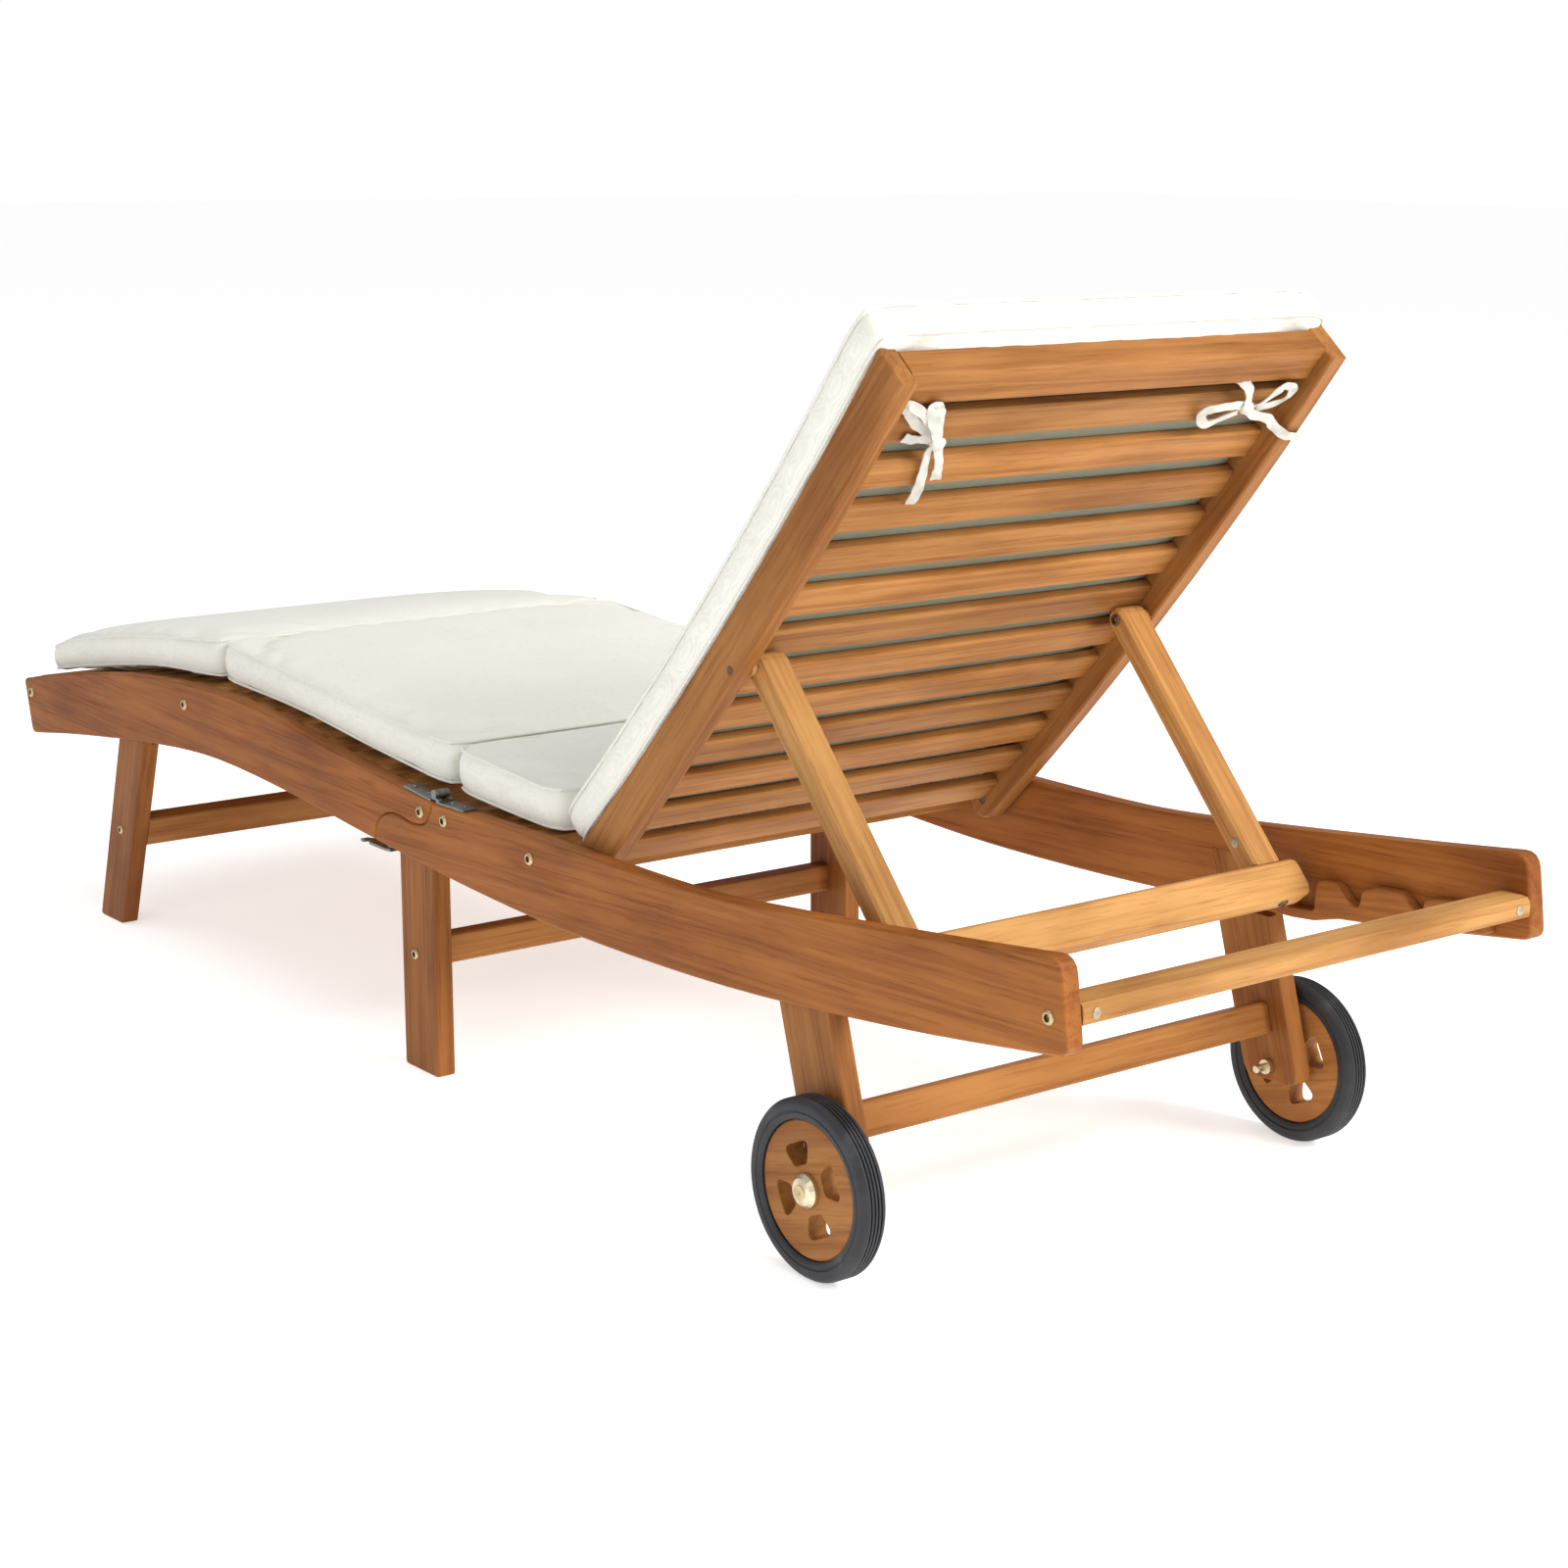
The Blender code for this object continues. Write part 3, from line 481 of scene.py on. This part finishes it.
def screw_head(name, at, axis, body, r=0.0028):
    profile = [(0, -0.0006), (r, -0.0006), (r, 0.0003), (r * 0.7, 0.0009), (r * 0.35, 0.0010),
            (r * 0.25, 0.0004), (0, 0.0002)]
    verts, faces = revolve(profile, at, axis, 14)
    return add(name, verts, faces, MAT["steel"], body, slot="steel_fittings")


def between(before, a, b, after, t):
    """The point at share t of the way from a to b, on a smooth curve through all four points."""
    return 0.5 * (2 * a + (b - before) * t + (2 * before - 5 * a + 4 * b - after) * t * t
                  + (3 * a - before - 3 * b + after) * t**3)


def smooth_line(points, per):
    pts = [Vector(p) for p in points]
    ends = [2 * pts[0] - pts[1]] + pts + [2 * pts[-1] - pts[-2]]
    out = []
    for before, a, b, after in zip(ends, ends[1:], ends[2:], ends[3:]):
        out += [between(before, a, b, after, k / per) for k in range(per)]
    return out + [pts[-1]]


def bands(count, m, closed=False):
    """Quads between count rings of m points each; closed also joins the last ring to the first."""
    faces = []
    for i in range(count if closed else count - 1):
        here, there = i * m, (i + 1) % count * m
        faces += [(here + k, here + (k + 1) % m, there + (k + 1) % m, there + k) for k in range(m)]
    return faces


def ribbon(points, face, width, thick=0.0011, per=8):
    """A flat tape along a smooth line; face gives the way its flat side looks at each point."""
    line = smooth_line(points, per)
    flat_way = smooth_line(face, per)
    # Once round the tape: along its rear side, then back along its front, from -1 to 1 each way.
    section = [(a, -1) for a in (-1, -0.5, 0, 0.5, 1)] + [(a, 1) for a in (1, 0.5, 0, -0.5, -1)]
    verts = []
    last = len(line) - 1
    for i, p in enumerate(line):
        t = (line[min(i + 1, last)] - line[max(i - 1, 0)]).normalized()
        n = flat_way[i]
        n = (n - t * n.dot(t)).normalized()
        w = t.cross(n)
        half = width / 2 * (1 + 0.06 * math.sin(i * 0.9))
        fold = 0.0012 * math.sin(i * 0.55)
        for a, b in section:
            cup = fold * (1 - a * a)
            verts.append(p + w * (a * half) + n * (b * thick / 2 + cup))
    m = len(section)
    ends = [tuple(range(m))[::-1], tuple(last * m + k for k in range(m))]
    return verts, bands(len(line), m) + ends


def merge_parts(parts):
    verts, faces = [], []
    for v, f in parts:
        base = len(verts)
        verts += v
        faces += [tuple(base + i for i in face) for face in f]
    return verts, faces


# ---------------------------------------------------------------- cushions
def line_at(stations, u):
    """Point at share u of the line through the stations, by the first coordinate's length."""
    pts = [Vector(p) for p in stations]
    dist = [0.0]
    for a, b in zip(pts, pts[1:]):
        dist.append(dist[-1] + (b - a).length)
    want = u * dist[-1]
    for i in range(len(pts) - 1):
        if want <= dist[i + 1] or i == len(pts) - 2:
            k = (want - dist[i]) / (dist[i + 1] - dist[i])
            a, b = pts[i], pts[i + 1]
            p0 = pts[i - 1] if i else 2 * a - b
            p3 = pts[i + 2] if i + 2 < len(pts) else 2 * b - a
            return between(p0, a, b, p3, k)
    return pts[-1]


class Pad:
    """A boxed pad between an upper and a lower line, both from the same end; half is its half width."""

    def __init__(self, name, top, bottom, half=0.275, cell=0.011):
        self.name, self.top, self.bottom, self.half = name, top, bottom, half
        length = sum((Vector(a) - Vector(b)).length for a, b in zip(top, top[1:]))
        self.length = length
        self.nx, self.ny, self.nz = max(8, round(length / cell)), round(2 * half / cell), 4

    def at(self, a, b, c):
        """a, b, c from 0 to 1: along, across, up."""
        t, l = line_at(self.top, a), line_at(self.bottom, a)
        p = l.lerp(t, c)
        # The pad's upright corners are sewn round: both runs of wall turn in towards the corner.
        run, turn = 0.040, 0.006
        u = min(a, 1 - a) * self.length / run
        v = min(b, 1 - b) * 2 * self.half / run
        pull = turn * max(0.0, 1 - u) ** 2 * max(0.0, 1 - v) ** 2
        way = (line_at(self.top, 1.0) - line_at(self.top, 0.0)).normalized() * (pull if a < 0.5 else -pull)
        y = (2 * b - 1) * self.half - math.copysign(pull, b - 0.5)
        return Vector((p.x + way.x - MID, y, p.y + way.y))

    def mesh(self):
        nx, ny, nz = self.nx, self.ny, self.nz
        index, verts, faces = {}, [], []

        def vert(i, j, k):
            key = (i, j, k)
            if key not in index:
                index[key] = len(verts)
                verts.append(self.at(i / nx, j / ny, k / nz))
            return index[key]

        def quad(*corners):
            faces.append(tuple(vert(*corner) for corner in corners))

        for i in range(nx):
            for j in range(ny):
                for k in (0, nz):
                    quad((i, j, k), (i + 1, j, k), (i + 1, j + 1, k), (i, j + 1, k))
        for i in range(nx):
            for k in range(nz):
                for j in (0, ny):
                    quad((i, j, k), (i + 1, j, k), (i + 1, j, k + 1), (i, j, k + 1))
        for j in range(ny):
            for k in range(nz):
                for i in (0, nx):
                    quad((i, j, k), (i, j + 1, k), (i, j + 1, k + 1), (i, j, k + 1))
        self.index = index
        return verts, faces

    def seams(self):
        """Vertices that lie on the pad's seams: the rims of its top and bottom faces."""
        return {v for (i, j, k), v in self.index.items()
                if k in (0, self.nz) and (i in (0, self.nx) or j in (0, self.ny))}

    def rim(self, c):
        """Grid keys round the rim of the bottom (c 0) or top (c 1) face, in order."""
        nx, ny = self.nx, self.ny
        ring = [(i, 0) for i in range(nx)] + [(nx, j) for j in range(ny)]
        ring += [(i, ny) for i in range(nx, 0, -1)] + [(0, j) for j in range(ny, 0, -1)]
        return [(i, j, self.nz if c else 0) for i, j in ring]


def swell(obj, pad, pressure, cap, frames=18):
    """Fills the cover by cloth simulation, its seams held, and limits how far any point may move."""
    start = np.array([v.co for v in obj.data.vertices])
    held = pad.seams()
    group = obj.vertex_groups.new(name="seams")
    group.add(sorted(held), 1.0, "REPLACE")
    cloth = obj.modifiers.new("cloth", "CLOTH")
    s = cloth.settings
    s.quality, s.mass, s.time_scale = 6, 0.25, 1.0
    s.tension_stiffness = s.compression_stiffness = 12
    s.shear_stiffness, s.bending_stiffness = 6, 0.6
    s.use_pressure, s.uniform_pressure_force = True, pressure
    s.effector_weights.gravity = 0.0
    s.vertex_group_mass = "seams"
    s.shrink_min = -0.030
    cloth.point_cache.frame_start, cloth.point_cache.frame_end = 1, frames + 1
    for f in range(1, frames + 1):
        scene.frame_set(f)
    mesh = bpy.data.meshes.new_from_object(obj.evaluated_get(bpy.context.evaluated_depsgraph_get()))
    moved = np.array([v.co for v in mesh.vertices])
    obj.modifiers.remove(cloth)
    obj.vertex_groups.clear()
    scene.frame_set(1)
    bpy.data.meshes.remove(mesh)
    step = moved - start
    far = np.linalg.norm(step, axis=1)
    keep = np.where(far > 1e-9, cap * np.tanh(far / cap) / np.maximum(far, 1e-9), 0)
    return start + step * keep[:, None]


def crown(pad, verts, up, side):
    """The cover's first filling, before the simulation: top and bottom domed, walls rounded out."""
    for (i, j, k), v in pad.index.items():
        a, b, c = i / pad.nx, j / pad.ny, k / pad.nz
        dome = (1 - abs(2 * a - 1) ** 6) * (1 - abs(2 * b - 1) ** 6)
        p = verts[v].copy()
        normal = (line_at(pad.top, a) - line_at(pad.bottom, a)).normalized()
        n3 = Vector((normal.x, 0, normal.y))
        if k == pad.nz:
            p += n3 * up * dome
        elif k == 0:
            p -= n3 * 0.25 * up * dome
        else:
            wall = 4 * c * (1 - c)
            if j in (0, pad.ny):
                p.y += (1 if j else -1) * side * wall
            if i in (0, pad.nx):
                run = (line_at(pad.top, 1.0) - line_at(pad.top, 0.0)).normalized()
                p += Vector((run.x, 0, run.y)) * (1 if i else -1) * side * 0.5 * wall
        verts[v] = p


def cushion(pad, up=0.004, side=0.003, pressure=3.5, cap=0.010):
    verts, faces = pad.mesh()
    crown(pad, verts, up, side)
    obj = add(pad.name, verts, faces, [MAT["canvas"], MAT["painted_shade_underside"]], slot="cushion_cloth", angle=70)
    low = {v for (i, j, k), v in pad.index.items()
           if k == 0 and 3 <= i <= pad.nx - 3 and 1 <= j <= pad.ny - 1}
    final = swell(obj, pad, pressure, cap)
    obj.data.vertices.foreach_set("co", final.astype(np.float32).ravel())
    obj.data.update()
    # Painted shade: the underside, the same cream cover lying in shade, gets a dark grey-green cloth
    # instead; it stops short of the seams: three cells at the ends, one at the sides.
    for f in obj.data.polygons:
        if all(v in low for v in f.vertices):
            f.material_index = 1
    # The piping keeps its own ring of points, read before the last smoothing moves the mesh's.
    co = [v.co.copy() for v in obj.data.vertices]
    rims = [[co[pad.index[key]] for key in pad.rim(c)] for c in (0, 1)]
    sub = obj.modifiers.new("smooth", "SUBSURF")
    sub.levels = sub.render_levels = 1
    smooth_mesh = bpy.data.meshes.new_from_object(obj.evaluated_get(bpy.context.evaluated_depsgraph_get()))
    obj.modifiers.remove(sub)
    obj.data = smooth_mesh
    obj.data.shade_smooth()
    welts = [tube(ring, 0.0016) for ring in rims]
    cord = add(pad.name + "_piping", *merge_parts(welts), MAT["piping"], slot="cushion_cloth")
    return obj, cord


def tube(ring, r, sides=7):
    """A closed loop of welt of radius r through the ring's points."""
    verts = []
    n = len(ring)
    centre = sum(ring, Vector()) / n
    for i, p in enumerate(ring):
        t = (ring[(i + 1) % n] - ring[i - 1]).normalized()
        u = p - centre
        u = (u - t * u.dot(t)).normalized()
        w = t.cross(u)
        for k in range(sides):
            a = 2 * math.pi * k / sides
            verts.append(p + (u * math.cos(a) + w * math.sin(a)) * r)
    return verts, bands(n, sides, closed=True)


def make_cushions():
    foot = Pad("pad_foot", [(0.028, 0.322), (0.130, 0.3485), (0.320, 0.3790), (0.5065, 0.3990)],
               [(0.032, 0.2945), (0.155, 0.3170), (0.338, 0.3460), (0.5070, 0.3580)])
    calf = Pad("pad_calf", [(0.5125, 0.3990), (0.700, 0.3850), (0.860, 0.3740), (1.0200, 0.3640)],
               [(0.5120, 0.3580), (0.700, 0.3500), (0.860, 0.3350), (1.0200, 0.3215)])
    seat = Pad("pad_seat", [(1.0290, 0.3620), (1.110, 0.3575), (1.190, 0.3515), (1.2260, 0.3520)],
               [(1.0290, 0.3205), (1.110, 0.3160), (1.190, 0.3130), (1.2300, 0.3125)])

    def back_line(off):
        """Stations and heights along the backrest, at a distance off the plane of its slats."""
        points = [back_point(s, bow_of(s) + off) for s in (0.012, 0.15, 0.30, 0.45, 0.60, 0.708)]
        return [(q.x + MID, q.z) for q in points]

    back = Pad("pad_back", back_line(0.0555), back_line(0.0225))
    low_side, high_side = part(FOLD[0] - FOLD_REACH, 0, FOLD[1]), part(FOLD[0] + FOLD_REACH, 0, FOLD[1])
    low_back, high_back = back_point(0.0, 0.0), back_point(BACK_REACH, 0.0)
    for pad, node_name, a, b, start, end in (
            (foot, "cushion_foot", None, "foot_section", None, None),
            (calf, "cushion_calf", "foot_section", "head_frame", low_side, high_side),
            (seat, "cushion_seat", "foot_section", "head_frame", low_side, high_side),
            (back, "cushion_back", "head_frame", "backrest", low_back, high_back)):
        obj, cord = cushion(pad)
        for piece in (obj, cord):
            if a:
                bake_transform(piece)
            else:
                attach(piece, b)
        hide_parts(node_name)


# ---------------------------------------------------------------- ties
def tape_bow(name, s, y, loops, tails, body="backrest"):
    """Cotton tape tied in a bow behind a slat. Loops and tails hold points as steps from the knot:
    up the back, across, and off the slat."""
    out = -(back_point(0, 1) - back_point(0, 0))
    parts = []
    for pts in loops + tails:
        world = [back_point(s + ds, -0.0052 - dn, y + dy) for ds, dy, dn in pts]
        face = [Vector((0, math.sin(k * 1.1) * 0.35, 0)) + out for k in range(len(pts))]
        parts.append(ribbon(world, face, 0.0098))
    c = back_point(s, -0.0120, y)
    u, v, w = basis(out, 0.4)
    knot, m, rings = [], 14, 9
    for i in range(rings):
        th = math.pi * i / (rings - 1)
        for k in range(m):
            a = 2 * math.pi * k / m
            rr = math.sin(th) * (1 + 0.10 * math.sin(3 * a + i))
            spoke = c + u * rr * math.cos(a) * 0.0075 + v * rr * math.sin(a) * 0.0090
            knot.append(spoke + w * math.cos(th) * 0.0060)
    parts.append((knot, bands(rings, m)))
    obj = add(name, *merge_parts(parts), MAT["tape"], body, slot="cushion_cloth", angle=60)
    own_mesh(obj)


def make_ties():
    tape_bow(
        "tie_bow_left", 0.608, -0.1789,
        [[(0.002, -0.0012, 0.006), (0.0156, -0.0203, 0.005), (0.0243, -0.0364, 0.004),
          (0.0373, -0.0506, 0.004), (0.0485, -0.0633, 0.006), (0.053, -0.0602, 0.009),
          (0.0425, -0.0411, 0.012), (0.0269, -0.0227, 0.012), (0.007, -0.005, 0.008)],
         [(0.0048, -0.002, 0.006), (0.0242, -0.0114, 0.007), (0.0405, -0.0205, 0.009),
          (0.0516, -0.0313, 0.01), (0.0527, -0.039, 0.013), (0.0424, -0.0347, 0.015),
          (0.0259, -0.0212, 0.014), (0.009, -0.007, 0.009)]],
        [[(0, 0, 0.008), (-0.0061, -0.0059, 0.008), (-0.0235, -0.0005, 0.008),
          (-0.0434, 0.0076, 0.007), (-0.0633, 0.0133, 0.007), (-0.0813, 0.0179, 0.004)],
         [(0, 0, 0.008), (-0.007, 0.005, 0.008), (-0.025, 0.0156, 0.009),
          (-0.035, 0.0201, 0.008), (-0.047, 0.0251, 0.008)],
         [(0, 0, 0.004), (0.0041, -0.0153, 0.004), (0.0028, -0.0264, 0.003),
          (0.0056, -0.0382, 0.002)]])
    tape_bow(
        "tie_bow_right", 0.6255, 0.1939,
        [[(0, 0, 0.006), (0.0035, -0.0072, 0.007), (0.0094, -0.0267, 0.012),
          (0.01, -0.0482, 0.014), (0.0044, -0.0605, 0.012), (-0.0079, -0.0555, 0.008),
          (-0.0222, -0.0374, 0.005), (-0.015, -0.0208, 0.005), (-0.0062, -0.0061, 0.006)],
         [(0, 0, 0.006), (0.0025, 0.0073, 0.008), (0.0143, 0.0107, 0.013),
          (0.0295, 0.0161, 0.015), (0.0327, 0.0259, 0.013), (0.0247, 0.0432, 0.009),
          (0.0115, 0.0509, 0.006), (0.0004, 0.0444, 0.004), (-0.0049, 0.0175, 0.005)]],
        [[(0, 0, 0.008), (0.0094, -0.0055, 0.008), (0.0233, -0.0129, 0.007),
          (0.0321, -0.0249, 0.004), (0.0364, -0.0371, 0.001)],
         [(0, 0, 0.008), (-0.0086, 0.0141, 0.009), (-0.0133, 0.0362, 0.011),
          (-0.0195, 0.045, 0.015), (-0.0225, 0.055, 0.025), (-0.025, 0.067, 0.0255),
          (-0.026, 0.077, 0.025), (-0.0258, 0.0833, 0.0235)]])


# ---------------------------------------------------------------- wheels, bolts, plugs
def make_tyres():
    """Tyres with ribbed tread and a moulded shoulder line."""
    for side, hand in SIDES:
        prof = [(0.0643, 0.2992), (0.0665, 0.2978), (0.0700, 0.2976), (0.0706, 0.2984), (0.0716, 0.2984),
                (0.0722, 0.2973), (0.0775, 0.2973), (0.0812, 0.2990), (0.0830, 0.3018)]
        ribs = 5
        lo, hi = 0.3030, 0.3180
        for k in range(ribs):
            a = lo + (hi - lo) * k / (ribs - 1)
            prof.append((WHEEL_R, a - 0.0012))
            if k < ribs - 1:
                prof += [(WHEEL_R, a + 0.0008), (0.0814, a + 0.0011), (0.0814, a + 0.0023)]
            else:
                prof.append((WHEEL_R, a + 0.0006))
        prof += [(0.0822, 0.3206), (0.0800, 0.3226), (0.0770, 0.3236), (0.0724, 0.3236), (0.0716, 0.3226),
                 (0.0706, 0.3226), (0.0700, 0.3233), (0.0665, 0.3232), (0.0643, 0.3215)]
        steps = 96
        centre = part(WHEEL_X, 0, WHEEL_R)
        verts = []
        for k in range(steps):
            turn = 2 * math.pi * k / steps
            verts += [centre + Vector((r * math.cos(turn), side * y, r * math.sin(turn))) for r, y in prof]
        faces = bands(steps, len(prof), closed=True)
        obj = add(f"ribbed_tyre_{hand}", verts, faces, MAT["rubber"], f"wheel_{hand}", slot="tyre_rubber",
                angle=40)
        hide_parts(f"tyre_{hand}")


# Bolts through the rails: name, station, height, body. Those through the legs also have the socket's turn.
RAIL_BOLTS = (
    ("foot_end", 0.0215, 0.2644, "foot_section"),
    ("foot_mid", 0.4617, 0.3190, "foot_section"),
    ("foot_rear", 0.9998, 0.2915, "foot_section"),
    ("seat_front", 1.0465, 0.2906, "head_frame"),
    ("seat_rear", 1.2086, 0.2836, "head_frame"),
    ("handle", 1.9625, 0.3085, "head_frame"),
)
LEG_BOLTS = (
    ("foot", 0.2550, 0.1240, "foot_section", 0.2),
    ("middle", 0.9700, 0.1280, "head_frame", 0.8),
    ("rear", 1.6680, 0.1310, "head_frame", 0.5),
)


def make_fixings():
    prop = back_point(PROP_S, PROP_N)
    down = prop_point(1, 0) - prop_point(0, 0)
    for side, hand in SIDES:
        out, inward = (0, side, 0), (0, -side, 0)
        for name, x, z, body in RAIL_BOLTS:
            socket_head(f"bolt_{name}_{hand}", part(x, side * RAIL_OUT, z), out, body, spin=x * 9)
        for name, x, z, body, spin in LEG_BOLTS:
            socket_head(f"bolt_{name}_leg_{hand}", part(x, side * LEG_OUT, z), out, body, 0.0058, spin=spin)
        flat_disc(f"plug_prop_{hand}", (prop.x, side * STILE_OUT, prop.z), out, "backrest", 0.0045,
                  MAT["plug"], 0.0003)
        socket_head(f"bolt_prop_{hand}", (prop.x, side * ARM_IN, prop.z), inward, "prop_frame", 0.0062,
                    MAT["plug"], 0.1)
        # Barrel nuts let into the handle bar, the prop arms and the crossbar.
        flat_disc(f"nut_handle_{hand}", part(1.9810, side * 0.2650, 0.3105), (1, 0, 0), "head_frame",
                  0.0048, MAT["dull"])
        flat_disc(f"nut_arm_{hand}", prop_point(0.262, 0.001, side * ARM_IN), inward, "prop_frame",
                  0.0050, MAT["dull"])
        socket_head(f"bolt_crossbar_{hand}", prop_point(0.3345, 0.003, side * 0.2300), down, "prop_frame",
                    0.0055, MAT["plug"], 0.4)
        flat_disc(f"axle_centre_{hand}", part(WHEEL_X, side * 0.3302, WHEEL_R), out, "head_frame", 0.0072,
                  MAT["brass"], 0.0007)
        # Two screws in each hinge leaf, on its sloping top.
        for k, x in enumerate((0.974, 1.002)):
            z = 0.3147 - 0.0930 * (x - 0.965)
            screw_head(f"screw_foot_{hand}_{k + 1}", part(x, side * SCREW_OUT, z - 0.0004), (0.092, 0, 1),
                       "foot_section")
        for k, x in enumerate((1.048, 1.073)):
            z = 0.3087 + 0.0012 * (x - 1.03) / 0.05
            screw_head(f"screw_head_{hand}_{k + 1}", part(x, side * SCREW_OUT, z - 0.0004), (0, 0, 1),
                       "head_frame")


# Grain direction, depth of tone and redness of each kind of piece; the last word found in a name counts.
# Tone and redness are partly the teak's own colour and partly painted shade and light: rails, legs and
# stiles, which stood in shade, are darker and redder, and the lit bars and prop arms are paler.
GRAIN_TONE_AND_SHADE = {
    "slat": ((0, 1, 0), 0.78, 0.09),
    "stretcher": ((0, 1, 0), 0.72, 0.13),
    "top_rail": ((0, 1, 0), 0.80, 0.14),
    "bar": ((0, 1, 0), 1.03, -0.05),
    "prop_arm": ((math.cos(PROP_ANGLE), 0, math.sin(PROP_ANGLE)), 1.0, -0.03),
    "foot_leg": ((0.3, 0, 1), 0.60, 0.26),
    "middle_leg": ((0, 0, 1), 0.58, 0.26),
    "rear_leg": ((-0.3, 0, 1), 0.64, 0.20),
    "foot_rail": ((1, 0, -0.02), 0.58, 0.34),
    "head_rail": ((1, 0, 0.04), 0.60, 0.30),
    "rack": ((1, 0, 0.12), 0.62, 0.22),
    "stile": ((math.cos(BACK_ANGLE), 0, math.sin(BACK_ANGLE)), 0.66, 0.14),
    "wheel_disc": ((1, 0, 0.3), 0.78, 0.14),
}


def dress_frame():
    """Gives every carried-over CAD piece its material: steel, zinc, or teak whose tones carry painted shade
    and light.
    """
    for seed, (name, obj) in enumerate(sorted(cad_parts.items())):
        if name.startswith(("cushion", "tyre")):
            continue
        if "hinge_leaf" in name or name.startswith(("latch", "back_pivot")):
            mat = MAT["steel"]
        elif name.startswith("axle"):
            mat = MAT["axle"]
        else:
            along, tone, redness_and_warm_shade = GRAIN_TONE_AND_SHADE["slat"]
            for word, grain_tone_shade in GRAIN_TONE_AND_SHADE.items():
                if word in name:
                    along, tone, redness_and_warm_shade = grain_tone_shade
            mat = wood("teak_" + name, along, tone, seed, redness_and_warm_shade)
        for slot in obj.material_slots:
            slot.material = mat
        if not obj.material_slots:
            obj.data.materials.append(mat)


MAT = {
    "canvas": canvas("canvas_cream", (0.87, 0.86, 0.79)),
    # Painted shade: a dark grey-green cloth for the pads' undersides, where the cream cover only lies in
    # shade.
    "painted_shade_underside": canvas("underside_painted_shade", (0.25, 0.262, 0.185), contrast=0.85),
    "piping": canvas("canvas_piping", (0.84, 0.83, 0.76), weave=0.0009),
    "tape": canvas("cotton_tape", (0.68, 0.67, 0.61), weave=0.0008),
    "steel": metal("zinc_steel", (0.22, 0.22, 0.21), 0.36),
    "dull": metal("dull_nut", (0.50, 0.42, 0.30), 0.5),
    "brass": metal("brass_plate", (0.62, 0.50, 0.28), 0.34),
    "axle": metal("yellow_zinc", (0.74, 0.66, 0.46), 0.30),
    "plug": metal("dark_plug", (0.20, 0.12, 0.07), 0.6),
    "rubber": rubber("tyre_black"),
}
set_camera()
set_studio()
dress_frame()
make_tyres()
make_fixings()
make_ties()
make_cushions()
